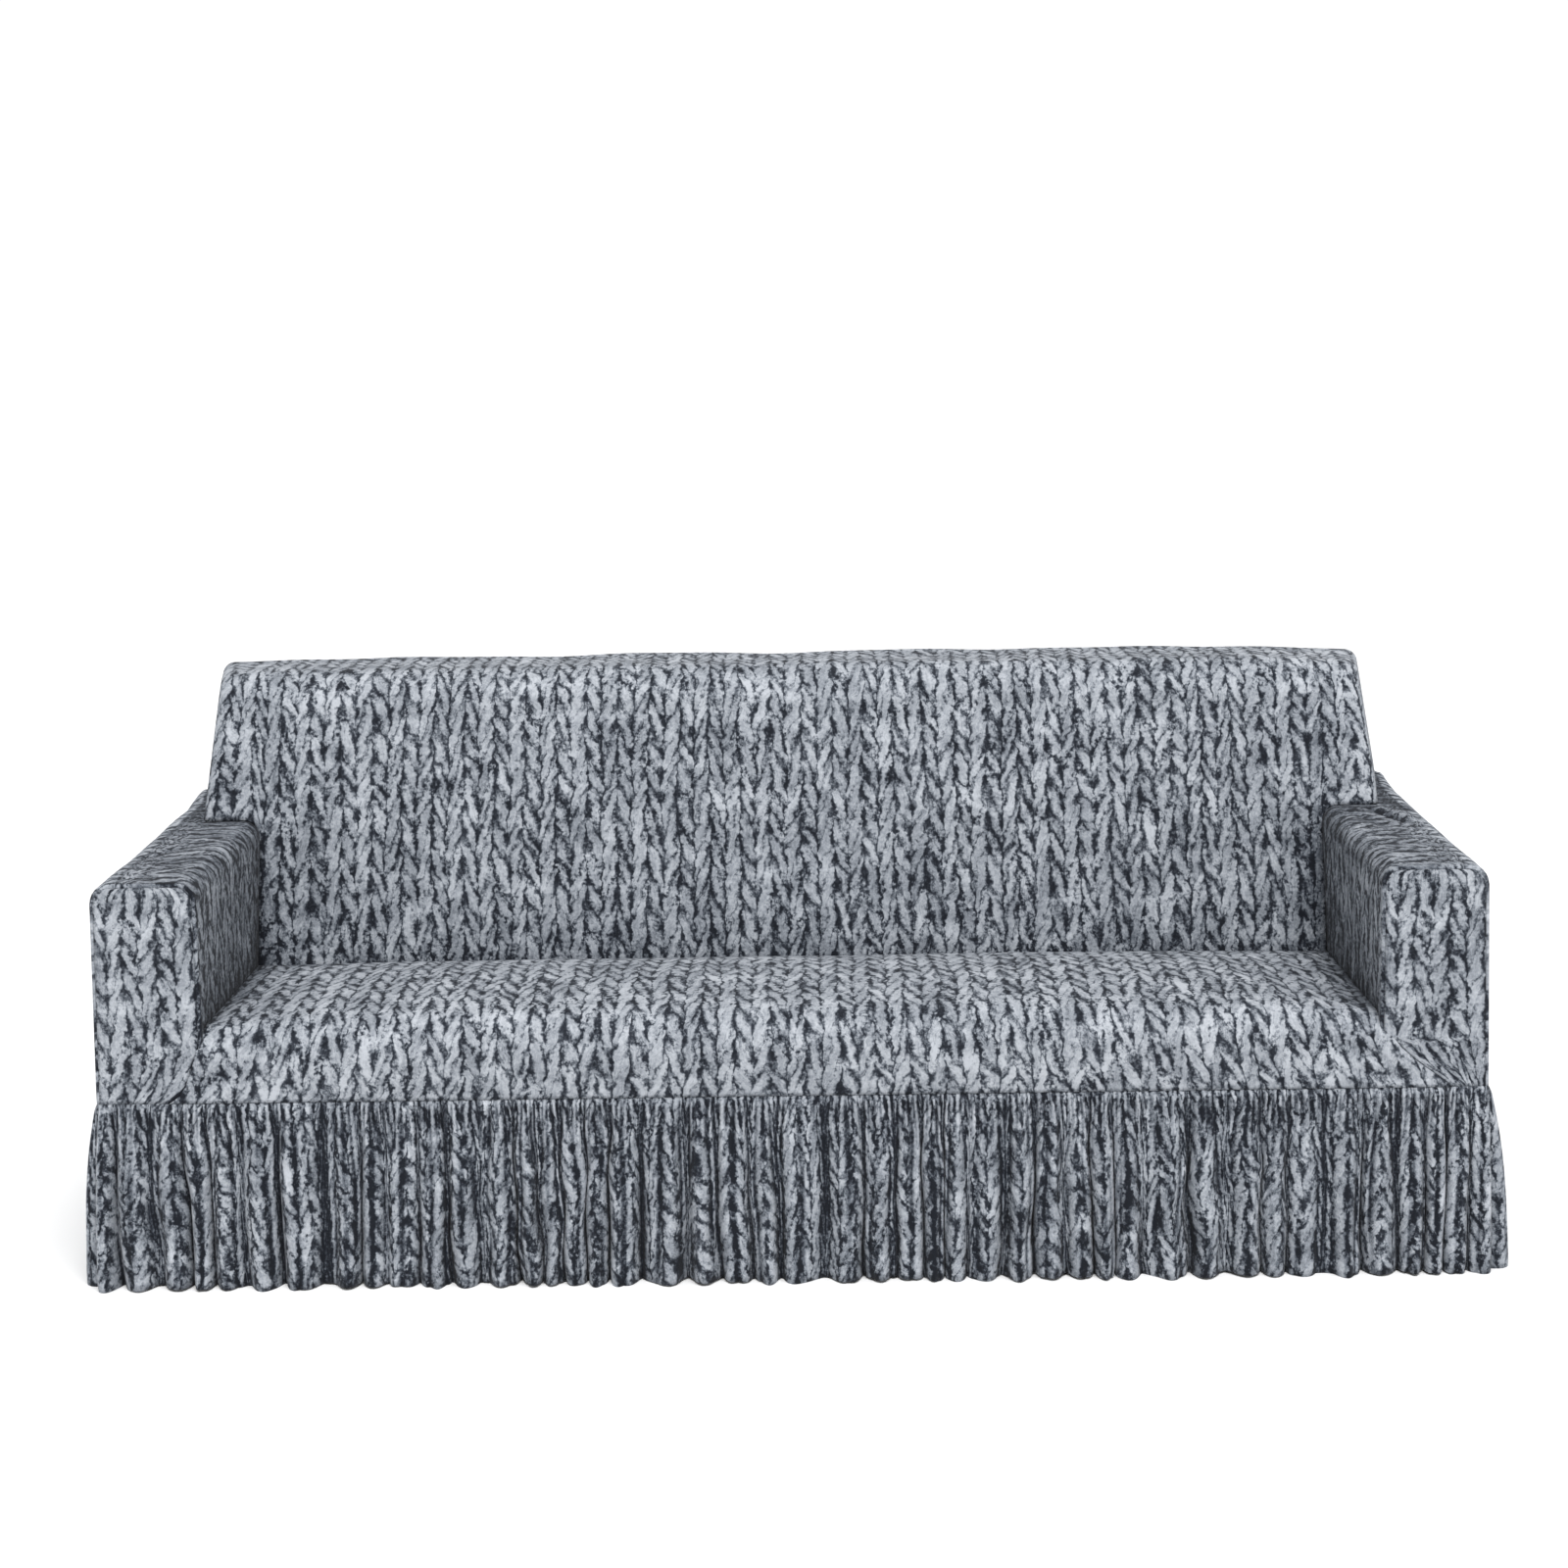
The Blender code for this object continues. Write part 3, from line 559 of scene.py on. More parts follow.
# Back, its inside. One length of the knit runs from the crease at the seat up the leaning face,
# over the rounded top and down to a seam on the rear. Above the arms it is wider and turns round
# the ends.
BACK_FRONT_HALF = 0.985
BACK_REAR_HALF = 1.048
BACK_TAPER = 0.040
BACK_FRONT_RADIUS = 0.070
BACK_REAR_RADIUS = 0.045
BACK_EDGE_RADIUS = 0.019
BACK_EDGE_TURN = 0.006
BACK_REAR_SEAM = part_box("back_outside")[1].z
LEFT_DROP, RIGHT_DROP = 0.003, 0.014
BACK_DROOP_START = 0.60
BACK_DROOP_FOOT = 0.66
BACK_UNEVENNESS = 0.0025
BACK_LOW_ROWS = 32  # beside the arms
BACK_HIGH_ROWS = 26
TOP_FRONT_ROWS = 10
TOP_FLAT_ROWS = 19
TOP_REAR_ROWS = 7
BACK_COLUMNS = 120  # from the middle to an arm
OVER_ARM_COLUMNS = 5
BACK_END_COLUMNS = 9
BACK_EDGE_COLUMNS = 7
# Painted shade on the back's inside: dark at its foot by the seat and beside the arms, and a little over
# the face below the rounded top
BACK_FOOT_SHADE = 0.4
BACK_FOOT_REACH = 0.03
BACK_SIDE_SHADE = 0.5
BACK_SIDE_REACH = 0.03
BACK_FACE_SHADE = 0.07
BACK_FACE_FADE = (0.12, 0.03)  # depths under the top between which the face's painted shade fades
ARM_HEIGHT = 0.625
ARM_ROLL = 0.003
ARM_ROLL_DEPTH = 0.09
ARM_RISE = 0.010
ARM_RISE_START = 0.22
ARM_INNER_RADIUS = 0.028


def arm_top(y):
    rolled = ARM_ROLL * share_of(y, 0.0, ARM_ROLL_DEPTH)
    return ARM_HEIGHT + rolled + ARM_RISE * share_of(y, ARM_RISE_START, DEPTH)


def side_of_back(y, z):
    """Half the back's width on its end, which opens out to the rear and narrows to the top."""
    width = mix(BACK_FRONT_HALF, BACK_REAR_HALF, share_of(y, back_face(ARM_HEIGHT), DEPTH))
    return width - BACK_TAPER * share_of(z, ARM_HEIGHT, BACK_HEIGHT)


def droop(x, z):
    """How much lower a point of the back lies because the top droops to its ends."""
    outwards = share_of(np.abs(x), BACK_DROOP_START, BACK_REAR_HALF) ** 2
    return np.where(x > 0, RIGHT_DROP, LEFT_DROP) * outwards * share_of(z, BACK_DROOP_FOOT, BACK_HEIGHT)


def top_outline():
    """Over the top of the back, from its front face to the seam on its rear.

    Gives depths and heights, and the outward direction's depth and height.
    """
    first = float(back_face(BACK_HEIGHT - BACK_FRONT_RADIUS))
    front = np.linspace(math.pi, math.pi / 2, TOP_FRONT_ROWS + 1)
    rear = np.linspace(math.pi / 2, 0.0, TOP_REAR_ROWS + 1)
    front_y = first + BACK_FRONT_RADIUS * (1 + np.cos(front))
    front_z = BACK_HEIGHT - BACK_FRONT_RADIUS * (1 - np.sin(front))
    rear_y = DEPTH - BACK_REAR_RADIUS * (1 - np.cos(rear))
    rear_z = BACK_HEIGHT - BACK_REAR_RADIUS * (1 - np.sin(rear))
    flat_y = np.linspace(front_y[-1], rear_y[0], TOP_FLAT_ROWS + 1)[1:-1]
    ys = np.concatenate((front_y, flat_y, rear_y, [DEPTH]))
    zs = np.concatenate((front_z, 0 * flat_y + BACK_HEIGHT, rear_z, [BACK_REAR_SEAM + SEAM_GAP]))
    turned = np.concatenate((front, 0 * flat_y + math.pi / 2, rear, [0.0]))
    return ys, zs, np.cos(turned), np.sin(turned)


notch_top = float(arm_top(back_face(ARM_HEIGHT))) + 2 * SEAM_GAP
top_y, top_z, top_ny, top_nz = top_outline()
between_arms = np.linspace(0, ARM_INNER - SEAM_GAP, BACK_COLUMNS + 1)
arm_turn = np.linspace(0, math.pi / 2, OVER_ARM_COLUMNS + 1)[1:]
over_arm = ARM_INNER + ARM_INNER_RADIUS * (1 - np.cos(arm_turn))
outer_share = np.linspace(0, 1, BACK_END_COLUMNS + 1)[1:]
edge_angle = np.linspace(0, math.pi / 2, BACK_EDGE_COLUMNS + 1)[1:]
edge_reach = np.append(BACK_EDGE_RADIUS * np.sin(edge_angle), BACK_EDGE_RADIUS)
edge_inset = np.append(BACK_EDGE_RADIUS * (1 - np.cos(edge_angle)), BACK_EDGE_RADIUS + BACK_EDGE_TURN)


def back_half(side):
    """The columns from the middle of the back to one of its ends."""
    places = [(flat_x, 0.0, 0.0, 0.0) for flat_x in (*between_arms, *over_arm)]
    places += [(over_arm[-1], outer, 0.0, 0.0) for outer in outer_share]
    places += [(over_arm[-1], 1.0, *turned) for turned in zip(edge_reach, edge_inset)]
    columns = []
    for flat_x, outer, reach, inset in places:
        run = min(max(flat_x - ARM_INNER, 0.0), ARM_INNER_RADIUS)
        drop = ARM_INNER_RADIUS - math.sqrt(ARM_INNER_RADIUS**2 - (ARM_INNER_RADIUS - run) ** 2)
        notch = notch_top - drop
        below = np.linspace(BACK_FOOT_HEIGHT, notch, BACK_LOW_ROWS + 1)
        above = np.linspace(notch, BACK_HEIGHT - BACK_FRONT_RADIUS, BACK_HIGH_ROWS + 1)[1:]
        face_z = np.concatenate((below, above))
        ys = np.concatenate((back_face(face_z), top_y[1:]))
        zs = np.concatenate((face_z, top_z[1:]))
        ny = np.concatenate((0 * face_z - 1, top_ny[1:]))
        nz = np.concatenate((0 * face_z, top_nz[1:]))
        ys, zs = ys - inset * ny, zs - inset * nz
        end = side_of_back(ys, zs) - BACK_EDGE_RADIUS
        xs = mix(flat_x, end, outer) + reach
        foot = np.arange(len(zs)) == BACK_LOW_ROWS
        zs = np.where(foot & (outer > 0), arm_top(ys) + SEAM_GAP, zs)
        zs = zs - droop(side * xs, zs)
        columns.append(np.stack((side * xs, ys, zs), axis=-1))
    return columns


back_points = np.stack(back_half(-1)[:0:-1] + back_half(1), axis=1)
behind_arms = np.zeros((back_points.shape[0] - 1, back_points.shape[1] - 1), dtype=bool)
beside = back_points.shape[1] // 2 - len(between_arms) + 1
behind_arms[:BACK_LOW_ROWS, :beside] = True
behind_arms[:BACK_LOW_ROWS, -beside:] = True
x, z = back_points[..., 0], back_points[..., 2]
# Painted shade: dark low down by the seat and beside the arms, and a little on the face under the top
low_down = np.exp(-(z - BACK_FOOT_HEIGHT) / BACK_FOOT_REACH)
beside_arm = np.exp(-np.abs(np.abs(x) - ARM_INNER) / BACK_SIDE_REACH) * (z < notch_top)
face = 1 - share_of(z, BACK_HEIGHT - BACK_FACE_FADE[0], BACK_HEIGHT - BACK_FACE_FADE[1])
sewn_sheet(
    "back_inside",
    back_points,
    unevenness=BACK_UNEVENNESS,
    left_out=behind_arms,
    shade=BACK_FOOT_SHADE * low_down + BACK_SIDE_SHADE * beside_arm + BACK_FACE_SHADE * face,
)


# Back, its outside. A plain panel of the same knit closes the rear, from the seam under the top
# down to the skirt. It turns round both rear corners and is sewn to the arms and the gussets there.
HALF_WIDTH = 1.049
SIDE_LEAN = 0.006
ARM_SPREAD = 0.008
ARM_OUTER_RADIUS = 0.030
ARM_REAR_ROUND = 0.0067
REAR_UNEVENNESS = 0.002
REAR_ROWS = 44
REAR_COLUMNS = 59  # from the middle to the start of a corner


def arm_edge(y):
    """Distance from the middle to the arm's outer top edge."""
    return HALF_WIDTH + ARM_SPREAD * share_of(y, ARM_RISE_START, DEPTH)


def side_of_arm(y, z):
    return mix(HALF_WIDTH + SIDE_LEAN, arm_edge(y), share_of(z, SEAM_HEIGHT, ARM_HEIGHT))


rear_arm_top = float(arm_top(DEPTH))
rear_arm_edge = (rear_arm_top - ARM_REAR_ROUND, rear_arm_top)
rear_z = np.linspace(SEAM_HEIGHT + SEAM_GAP, BACK_REAR_SEAM - SEAM_GAP, REAR_ROWS + 1)
rear_z = np.sort(np.append(rear_z, rear_arm_edge))
over_arms = share_of(rear_z, *rear_arm_edge)
rear_places = [(number / REAR_COLUMNS, 0.0, 0.0) for number in range(REAR_COLUMNS + 1)]
rear_places += [(1.0, *turned) for turned in zip(edge_reach, edge_inset)]
rear_columns = []
for side in (-1, 1):
    half_columns = []
    for outer, reach, inset in rear_places:
        y = np.full_like(rear_z, DEPTH - inset)
        end = mix(side_of_arm(y, rear_z), side_of_back(y, rear_z), over_arms) - BACK_EDGE_RADIUS
        x = side * (outer * end + reach)
        half_columns.append(np.stack((x, y, rear_z - droop(x, rear_z)), axis=-1))
    rear_columns = half_columns[:0:-1] if side < 0 else rear_columns + half_columns
rear_points = np.stack(rear_columns, axis=1)
sewn_sheet("back_outside", rear_points, side=-1, unevenness=REAR_UNEVENNESS)


# Gussets. A small flat panel of the same knit closes each end of the back above the arm. It is
# sewn to the turned edges of the back's inside and outside, and along its foot to the arm's top.
GUSSET_ROWS = 27
GUSSET_COLUMNS = 32
GUSSET_FRONT_POINTS = 20
GUSSET_START = 0.02  # how far under the arm's height its outline is followed from
LEVEL = 0.01  # the outline is level where its outward direction has less depth than this

gusset_inset = BACK_EDGE_RADIUS + BACK_EDGE_TURN + SEAM_GAP
outline_foot = ARM_HEIGHT - GUSSET_START
front_z = np.linspace(outline_foot, BACK_HEIGHT - BACK_FRONT_RADIUS, GUSSET_FRONT_POINTS)
front_curve = [(z, float(back_face(z)) + gusset_inset) for z in front_z]
rear_curve = [(outline_foot, DEPTH - gusset_inset)]
for y, z, ny, nz in zip(*top_outline()):
    if abs(ny) > LEVEL:
        curve = front_curve if ny < 0 else rear_curve
        curve.append((z - gusset_inset * nz, y - gusset_inset * ny))
front_curve = np.array(sorted(front_curve))
rear_curve = np.array(sorted(rear_curve))
gusset_foot = float(arm_top(back_face(ARM_HEIGHT)))
gusset_z = np.linspace(gusset_foot, BACK_HEIGHT - gusset_inset, GUSSET_ROWS + 1)
for side, side_name in ((-1, "left"), (1, "right")):
    share, z = np.meshgrid(np.linspace(0, 1, GUSSET_COLUMNS + 1), gusset_z)
    start = np.interp(z, front_curve[:, 0], front_curve[:, 1])
    end = np.interp(z, rear_curve[:, 0], rear_curve[:, 1])
    y = mix(start, end, share)
    z = np.maximum(z, arm_top(y) + SEAM_GAP)
    x = side * side_of_back(y, z)
    sewn_sheet(
        "back_side_" + side_name,
        np.stack((x, y, z - droop(x, z)), axis=-1),
        side=side,
    )


# Arms. One length of the knit covers each arm's outside, its top and its inside, and turns a
# little way onto the front, where a flat face panel is sewn in. The print's columns run over the
# arm.
ARM_SHELF_ROUND = 0.75
ARM_FRONT_RADIUS = 0.005
ARM_FRONT_TURN = 0.0006
TUCK = 0.004
ARM_UNEVENNESS = 0.0012
ARM_STATIONS = (
    # zone, steps
    ("outside", 34),
    ("outer_edge", 6),
    ("top", 28),
    ("inner_edge", 7),
    ("inside", 24),
)
ARM_COLUMNS = 100
ARM_TURN_POINTS = 5
ARM_SEARCH_POINTS = 400
ARM_CREASES = {
    # start, end, width, depth
    -1: (
        ((-0.915, 0.02, 0.600), (-0.900, 0.16, 0.520), 0.012, 0.003),
        ((-0.96, 0.30, 0.630), (-1.03, 0.18, 0.625), 0.012, 0.003),
    ),
    1: (
        ((0.966, 0.490, 0.630), (1.000, 0.355, 0.626), 0.009, 0.010),
        ((0.985, 0.490, 0.630), (1.019, 0.355, 0.626), 0.011, -0.004),
        ((0.925, 0.460, 0.630), (0.960, 0.300, 0.626), 0.010, 0.003),
        ((0.915, 0.03, 0.600), (0.900, 0.14, 0.500), 0.012, 0.003),
    ),
}
# Painted shade on the arm: over its inside, deepest down by the seat, and where the inside, inner edge and
# top run in under the back. The top and inner edge are also made darker all over.
ARM_INSIDE_SHADE = 0.17
ARM_TOP_SHADE = 0.24
ARM_SEAT_SHADE = 0.5
ARM_SEAT_REACH = 0.05
ARM_BACK_SHADE = 0.4
ARM_BACK_REACH = 0.07
ARM_STRETCH = 1.4  # how far the cloth is drawn out along the arm


def leg_foot(y):
    """Lower edge of an arm's inside, just below the seat's surface beside it."""
    into_edge = np.maximum(SEAT_EDGE_RADIUS - y, 0.0)
    rounded = SEAT_EDGE_RADIUS - np.sqrt(SEAT_EDGE_RADIUS**2 - into_edge**2)
    return SEAT_HEIGHT - rounded - 2 * TUCK


def arm_section(zone, share, y):
    """A line (x, z) along the arm at depths y, with its outward direction."""
    top = arm_top(y)
    shelf = arm_edge(y) - side_of_back(y, ARM_HEIGHT)
    outer_radius = np.minimum(ARM_OUTER_RADIUS, ARM_SHELF_ROUND * shelf)
    outer_start = arm_edge(y) - outer_radius
    inner_end = ARM_INNER + ARM_INNER_RADIUS
    if zone == "outside":
        z = mix(SEAM_HEIGHT + SEAM_GAP, top - outer_radius, share)
        return side_of_arm(y, z), z, 1.0, 0.0
    if zone == "outer_edge":
        angle = math.pi / 2 * share
        x = outer_start + outer_radius * math.cos(angle)
        return x, top - outer_radius * (1 - math.sin(angle)), math.cos(angle), math.sin(angle)
    if zone == "top":
        return mix(outer_start, inner_end, share), top, 0.0, 1.0
    if zone == "inner_edge":
        angle = math.pi / 2 * (1 + share)
        x = inner_end + ARM_INNER_RADIUS * math.cos(angle) + 0 * y
        return x, top - ARM_INNER_RADIUS * (1 - math.sin(angle)), math.cos(angle), math.sin(angle)
    z = mix(top - ARM_INNER_RADIUS, leg_foot(y), share)
    return ARM_INNER + 0 * y, z, -1.0, 0.0


def wrap_rear(zone, share):
    """How far back each line round the arm runs: to the rear corner, or under the back."""
    rear = DEPTH - BACK_EDGE_RADIUS - BACK_EDGE_TURN - SEAM_GAP
    under = float(back_face(ARM_HEIGHT)) + TUCK
    if zone in ("outside", "outer_edge"):
        return rear
    if zone == "inside":
        return float(back_face(mix(ARM_HEIGHT, BACK_FOOT_HEIGHT, share))) + TUCK
    if zone == "top" and share < 1:
        depths = np.linspace(under, rear, ARM_SEARCH_POINTS)
        open_air = arm_section(zone, share, depths)[0] > side_of_back(depths, ARM_HEIGHT) - TUCK
        return float(depths[open_air].max(initial=under))
    return under


wrap_lines = []
for zone, steps in ARM_STATIONS:
    shares = np.linspace(0, 1, steps + 1)
    wrap_lines += [(zone, share) for share in (shares if zone == "outside" else shares[1:])]
front_angle = np.linspace(math.pi / 2, 0, ARM_TURN_POINTS)
turn_depth = np.append(0.0, ARM_FRONT_RADIUS * (1 - np.sin(front_angle)))
turn_inset = np.append(ARM_FRONT_RADIUS + ARM_FRONT_TURN, ARM_FRONT_RADIUS * (1 - np.cos(front_angle)))
for side, side_name in ((-1, "left"), (1, "right")):
    wrap_rows = []
    wrap_shades = []
    for zone, share in wrap_lines:
        behind = np.linspace(ARM_FRONT_RADIUS, wrap_rear(zone, share), ARM_COLUMNS + 1)[1:]
        y = np.concatenate((turn_depth, behind))
        draw_in = np.concatenate((turn_inset, 0 * behind))
        x, z, facing_x, facing_z = arm_section(zone, share, y)
        wrap_rows.append(np.stack((side * (x - draw_in * facing_x), y, z - draw_in * facing_z), axis=-1))
        # Painted shade: over the inside and inner edge, deeper towards the seat, and where the cloth runs
        # in under the back; the top and inner edge are darker all over
        to_back = np.exp(-np.maximum(back_face(z) - y, 0.0) / ARM_BACK_REACH)
        to_seat = np.exp(-np.maximum(z - SEAT_HEIGHT, 0.0) / ARM_SEAT_REACH)
        inside = {"inside": 1.0, "inner_edge": share}.get(zone, 0.0)
        wrap_shade = inside * (ARM_INSIDE_SHADE + ARM_SEAT_SHADE * to_seat)
        wrap_shade = wrap_shade + ARM_TOP_SHADE * (zone in ("top", "inner_edge"))
        faces_in = zone in ("inside", "inner_edge", "top")
        wrap_shades.append(wrap_shade + ARM_BACK_SHADE * to_back * faces_in)
    sewn_sheet(
        "arm_wrap_" + side_name,
        np.stack(wrap_rows),
        side=side,
        creases=ARM_CREASES[side],
        unevenness=ARM_UNEVENNESS,
        shade=np.stack(wrap_shades),
        print_x=np.stack(wrap_rows)[..., 1] / ARM_STRETCH,
    )


# Arm fronts. A face panel of the same knit fills each arm's outline and is sewn to the turned
# edge of the arm's length. Its lower inside corner gives way to the corner of the seat's apron.
FRONT_UNEVENNESS = 0.0012
FRONT_PLUMP = 0.003
# Painted shade over each whole face panel, more on the right arm's than on the left's
FRONT_SHADE = {-1: 0.03, 1: 0.09}
FRONT_COLUMNS = 24
FRONT_ROWS = 49
FRONT_ROUND_ROWS = 12
FRONT_CURVE_POINTS = 9

face_inset = ARM_FRONT_RADIUS + ARM_FRONT_TURN + SEAM_GAP


def face_corner(zone):
    """Round one top corner of a face panel: heights, and distances from the middle."""
    curve = []
    for share in np.linspace(0, 1, FRONT_CURVE_POINTS):
        x, z, facing_x, facing_z = arm_section(zone, share, np.zeros(1))
        curve.append((z[0] - face_inset * facing_z, x[0] - face_inset * facing_x))
    return np.array(sorted(curve)).T


outer_z, outer_x = face_corner("outer_edge")
inner_z, inner_x = face_corner("inner_edge")
leg = float(leg_foot(np.zeros(1))[0])
round_start = ARM_HEIGHT - ARM_OUTER_RADIUS
face_turn = np.linspace(0, math.pi / 2, FRONT_ROUND_ROWS + 1)[1:]
face_z = np.linspace(SEAM_HEIGHT + SEAM_GAP, round_start, FRONT_ROWS + 1)
face_z = np.append(face_z, round_start + (ARM_OUTER_RADIUS - face_inset) * np.sin(face_turn))
for side, side_name in ((-1, "left"), (1, "right")):
    share, z = np.meshgrid(np.linspace(0, 1, FRONT_COLUMNS + 1), face_z)
    seam_moved = np.interp(z - SEAM_HEIGHT, seam_heights, left_seam if side < 0 else right_seam)
    inner = np.where(z < leg, ARM_INNER + seam_moved, np.interp(z, inner_z, inner_x))
    straight = side_of_arm(0.0, z) - face_inset
    outer = np.where(z > outer_z[0], np.interp(z, outer_z, outer_x), straight)
    plump = FRONT_PLUMP * np.sin(math.pi * share)
    plump = plump * np.sin(math.pi * share_of(z, SEAM_HEIGHT, ARM_HEIGHT))
    sewn_sheet(
        "arm_front_" + side_name,
        np.stack((side * mix(inner, outer, share), -plump, z), axis=-1),
        side=side,
        unevenness=FRONT_UNEVENNESS,
        shade=FRONT_SHADE[side],
    )


# Skirt. Four lengths of the knit, each cut well over half as long again as its side of the cover,
# gathered onto the seam and joined at the corners. Small tight gathers run out of the seam and
# merge into deep folds that reach the hem, uneven in width and depth.
FOLDS = {"front": 45, "right": 19, "back": 45, "left": 19}
SKIRT_REACH = 0.021
SKIRT_TUCK = 0.008  # share of the skirt's height that lies behind the edge it is sewn to
SKIRT_HEAD = 0.12  # share of the skirt's height that the head takes, where the gathers are
HEAD_ROWS = 8
SKIRT_ROWS = 22
HEAD_SWELL = 0.004
HEAD_ONSET = (0.0, 0.03)
HEM_LIFT = 0.004
CORNER_WIDTH = 0.060
CORNER_ONSET = 0.40  # share of the skirt's height over which its corners open
FOLD_DEPTH = 0.0145
FOLD_ONSET = 0.6  # power by which folds deepen from the seam to the hem
FOLD_POINTS = 30
FOLD_SAMPLES = 400
FOLD_DRIFT = (
    # waves, swing, depth share, start
    (0.067, 0.40, 0.14, 0.3),
    (0.170, 0.20, 0.17, 1.9),
    (0.380, 0.08, 0.20, 4.4),
)
GATHERS = 5.2  # small gathers at the seam for each fold
GATHER_DEPTH = 0.0030
GATHER_SHIFT = 0.35  # how far gathers stray, against the width of one
GATHER_CHANGE = 0.6
GATHER_LENGTH = 0.17  # share of the skirt's height over which gathers run out
GATHER_FADE = 1.3
GATHER_ONSET = (-0.01, 0.05)
RIBS = 2.3  # narrow ribs that run down each fold
RIB_DEPTH = 0.0042
RIB_SHIFT = 0.4  # how far ribs stray, against the width of one
RIB_STRENGTH = 0.65
RIB_CHANGE = 0.65
RIB_LEVEL = 1.2  # the height in a rib's wave that lies on the fold's own surface
RIB_ONSET = (0.03, 0.22)
PINCH = 0.65  # how far the sides of each fold are drawn together
PINCH_ONSET = (0.02, 0.4)
SKIRT_SLANT = 0.009
SKIRT_SWAY = 0.0034
SWAY_ONSET = (0.0, 0.2)
CREST_FULLNESS = 1.6  # cloth on the folds' crests for each length of seam
VALLEY_CLOTH = 0.022  # cloth that each fold takes in
VALLEY_TURN = 0.07  # share of a fold over which it takes that cloth in
SKIRT_PRINT_RISE = 1.2  # the crumples under the seam take up some of the cloth's length
# Painted shade on the skirt: a little all over and more towards the hem, dark in the folds' valleys, on
# one side of each gather, in the ribs' grooves and in short splits down some crests
SKIRT_SHADE = 0.04
HEM_SHADE = 0.06
VALLEY_WIDTH = 0.062
VALLEY_OPENING = 0.06  # how much wider a valley is at the hem
VALLEY_STRENGTH = 0.95
VALLEY_LEAST = 0.1
VALLEY_CHANGE = 0.65
VALLEY_PATCHES = 0.6  # how much a valley's painted shade changes down its length
VALLEY_SHADES = (1.1, 0.75)  # under the seam and at the hem
VALLEY_ONSET = (-0.08, 0.15)
GATHER_SHADE = 0.9
GATHER_HOLLOW = -0.1  # where in a gather's wave its painted shade starts
GROOVE_SHADE = 1.1
GROOVE_WIDTH = 0.30
SPLIT_SHADE = 1.2  # splits are short lines of painted shade down the middle of some folds
SPLIT_WIDTH = 0.05
WANDERS = {
    # seed, how often it changes for each fold and from the seam to the hem
    "gathers": (11, 1.7, 0.0),
    "gather_size": (31, 2.3, 0.0),
    "ribs": (51, 1.3, 0.8),
    "rib_size": (71, 1.9, 4.0),
    "slant": (91, 0.35, 0.0),
    "sway": (131, 0.9, 4.0),
    "valleys": (111, 1.0, 0.0),
    "valley_patches": (151, 7.0, 4.5),
    "splits": (171, 2.0, 2.0),
}
WANDER_DRAWS = 400

half = HALF_WIDTH + SIDE_LEAN
side_run = DEPTH - ARM_FRONT_RADIUS - BACK_EDGE_RADIUS
SEAM_PATH = {
    # start, direction, length, radius of the turn at its end
    "front": ((-half + ARM_FRONT_RADIUS, 0.0), (1, 0), 2 * (half - ARM_FRONT_RADIUS), ARM_FRONT_RADIUS),
    "right": ((half, ARM_FRONT_RADIUS), (0, 1), side_run, BACK_EDGE_RADIUS),
    "back": ((half - BACK_EDGE_RADIUS, DEPTH), (-1, 0), 2 * (half - BACK_EDGE_RADIUS), BACK_EDGE_RADIUS),
    "left": ((-half, DEPTH - BACK_EDGE_RADIUS), (0, -1), side_run, ARM_FRONT_RADIUS),
}


def turn_before(name):
    """Radius of the turn that a length starts from."""
    names = list(SEAM_PATH)
    return SEAM_PATH[names[names.index(name) - 1]][3]


def corner_length(radius):
    return math.pi / 2 * (radius + SKIRT_REACH)


def place_on_path(name, along_run):
    """Points on the seam line and their outward directions."""
    (start_x, start_y), (step_x, step_y), length, radius = SEAM_PATH[name]
    corner = np.where(along_run < 0, turn_before(name), radius)
    past = np.where(along_run < 0, along_run, np.maximum(along_run - length, 0.0))
    run = np.clip(along_run, 0.0, length)
    out_x, out_y = step_y, -step_x
    angle = past / (corner + SKIRT_REACH)
    facing_x = out_x * np.cos(angle) + step_x * np.sin(angle)
    facing_y = out_y * np.cos(angle) + step_y * np.sin(angle)
    x = start_x + run * step_x - corner * out_x + corner * facing_x
    y = start_y + run * step_y - corner * out_y + corner * facing_y
    return x, y, facing_x, facing_y


def fold_phase(name, share):
    """How many folds lie before a share of a length."""
    phase = FOLDS[name] * share
    for wave_share, swing, _, start in FOLD_DRIFT:
        waves = round(FOLDS[name] * wave_share)
        phase = phase + swing * (np.sin(2 * math.pi * waves * share + start) - math.sin(start))
    return phase


def fold_strength(name, share):
    strength = 1.0
    for wave_share, _, depth_share, _ in FOLD_DRIFT:
        waves = round(FOLDS[name] * wave_share)
        strength = strength + depth_share * np.sin(2 * math.pi * waves * share)
    return strength


def wander(kind, number, folds, drop):
    """A smooth random value from -1 to 1, with a new one at each whole number of its place."""
    seed, along_rate, down_rate = WANDERS[kind]
    place = folds * along_rate + drop * down_rate
    draw = np.random.default_rng(seed + number).uniform(-1.0, 1.0, WANDER_DRAWS)
    low = np.floor(place).astype(int)
    share = place - low
    share = share * share * (3 - 2 * share)
    return mix(draw[low % WANDER_DRAWS], draw[(low + 1) % WANDER_DRAWS], share)


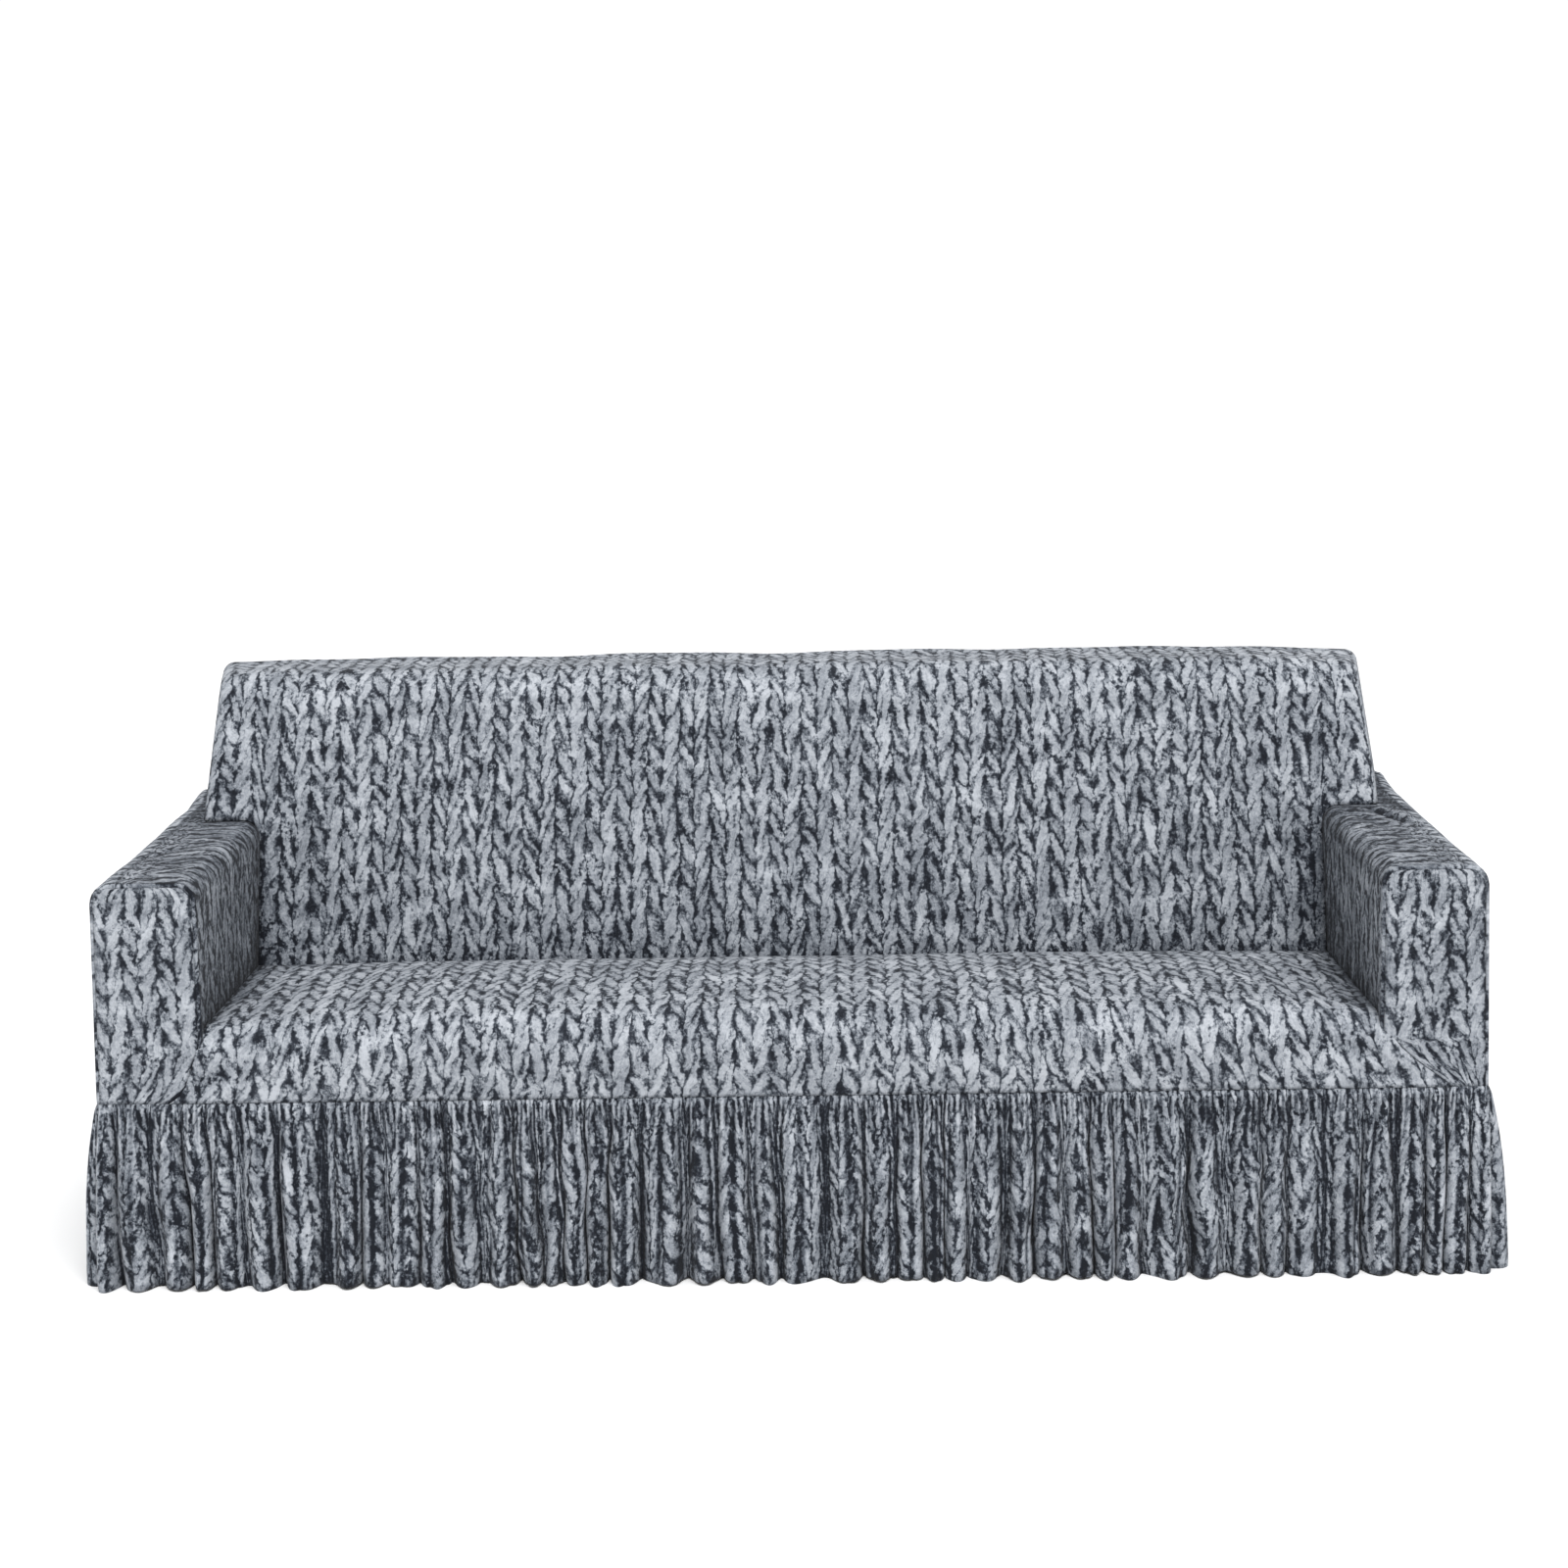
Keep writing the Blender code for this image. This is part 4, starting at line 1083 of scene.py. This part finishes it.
head_drop = np.linspace(0, SKIRT_HEAD, HEAD_ROWS + 1)
skirt_drop = np.append(head_drop, np.linspace(SKIRT_HEAD, 1, SKIRT_ROWS + 1)[1:])
skirt_drop = np.append(-SKIRT_TUCK, skirt_drop)[::-1]
for number, name in enumerate(SEAM_PATH):
    length, radius = SEAM_PATH[name][2:]
    first = -corner_length(turn_before(name)) / 2 + SEAM_GAP
    last = length + corner_length(radius) / 2 - SEAM_GAP
    samples = np.linspace(0, 1, FOLD_SAMPLES * FOLDS[name] + 1)
    total = float(fold_phase(name, np.ones(1))[0])
    even_phase = np.linspace(0, total, FOLDS[name] * FOLD_POINTS + 1)
    shares = np.interp(even_phase, fold_phase(name, samples), samples)
    share, drop = np.meshgrid(shares, skirt_drop)
    phase = fold_phase(name, share)
    swing = 2 * math.pi * phase
    ends = share_of(np.minimum(share, 1 - share) * FOLDS[name], 0.0, 1.0)
    from_corner = np.minimum(share, 1 - share) * length
    at_corner = np.exp(-((from_corner / CORNER_WIDTH) ** 2))
    hangs = np.maximum(drop, 0.0)
    spread = mix(hangs**FOLD_ONSET, 1 - np.exp(-hangs / CORNER_ONSET), at_corner)
    deep = -FOLD_DEPTH * fold_strength(name, share) * np.cos(swing)

    small_phase = 2 * math.pi * (GATHERS * phase + GATHER_SHIFT * wander("gathers", number, phase, drop))
    small_fade = np.exp(-((hangs / GATHER_LENGTH) ** GATHER_FADE)) * share_of(drop, *GATHER_ONSET) * ends
    small_size = 1 + GATHER_CHANGE * wander("gather_size", number, phase, drop)
    small = small_size * np.sin(small_phase) * small_fade
    rib_phase = 2 * math.pi * (RIBS * phase + RIB_SHIFT * wander("ribs", number, phase, drop))
    rib_strength = RIB_STRENGTH + RIB_CHANGE * wander("rib_size", number, phase, drop)
    rib_fade = share_of(drop, *RIB_ONSET) * ends
    rib = rib_strength * (2 * np.abs(np.sin(rib_phase / 2)) - RIB_LEVEL) * rib_fade
    head = HEAD_SWELL * np.exp(-((drop / SKIRT_HEAD) ** 2)) * share_of(drop, *HEAD_ONSET) * (1 - at_corner)
    reach_out = spread * (SKIRT_REACH + deep) + GATHER_DEPTH * small + RIB_DEPTH * rib + head
    reach_out = np.where(drop < 0, -CLOTH - SEAM_GAP, reach_out)

    pinch = PINCH * np.sin(swing) / (2 * math.pi) * share_of(drop, *PINCH_ONSET) * ends
    stretch = (last - first) / FOLDS[name]
    slant = SKIRT_SLANT * wander("slant", number, phase, drop) * drop
    sway = SKIRT_SWAY * wander("sway", number, phase, drop) * share_of(drop, *SWAY_ONSET)
    along_run = mix(first, last, share) - pinch * stretch + (slant + sway) * ends
    x, y, facing_x, facing_y = place_on_path(name, along_run)
    lifts = round(FOLDS[name] * FOLD_DRIFT[1][0])
    z = SEAM_HEIGHT * (1 - drop) + HEM_LIFT * np.sin(math.pi * lifts * share) ** 2 * drop
    skirt_points = np.stack((x + reach_out * facing_x, y + reach_out * facing_y, z), axis=-1)

    folds = fold_phase(name, shares)
    taken_in = np.round(folds) + 0.5 * np.tanh((folds - np.round(folds)) / VALLEY_TURN)
    # Painted shade: dark in the folds' valleys and along a few splits down their crests, on the dark side
    # of the gathers and in the ribs' grooves, a little all over and more towards the hem
    nearest = np.round(phase)
    valley_width = VALLEY_WIDTH + VALLEY_OPENING * drop
    valley_strength = VALLEY_STRENGTH + VALLEY_CHANGE * wander("valleys", number, nearest, drop)
    valley_strength = valley_strength + VALLEY_PATCHES * wander("valley_patches", number, nearest, drop)
    valley = np.exp(-(((phase - nearest) / valley_width) ** 2)) * np.maximum(valley_strength, VALLEY_LEAST)
    valley = valley * mix(*VALLEY_SHADES, drop)
    hollow = share_of(-np.sin(small_phase), GATHER_HOLLOW, 1.0) * small_fade
    groove = np.exp(-((np.sin(rib_phase / 2) / GROOVE_WIDTH) ** 2)) * rib_strength * rib_fade
    crest = np.floor(phase) + 0.5
    split_shade = np.exp(-(((phase - crest) / SPLIT_WIDTH) ** 2))
    split_shade = split_shade * np.maximum(wander("splits", number, crest, drop), 0.0)
    skirt_shade = SKIRT_SHADE + HEM_SHADE * drop + valley * share_of(drop, *VALLEY_ONSET)
    skirt_shade = skirt_shade + GATHER_SHADE * hollow + GROOVE_SHADE * groove
    skirt_shade = skirt_shade + SPLIT_SHADE * split_shade * rib_fade
    sewn_sheet(
        "skirt_" + name,
        skirt_points,
        shade=skirt_shade,
        print_x=CREST_FULLNESS * mix(first, last, shares) + VALLEY_CLOTH * taken_in,
        print_rise=SKIRT_PRINT_RISE,
    )
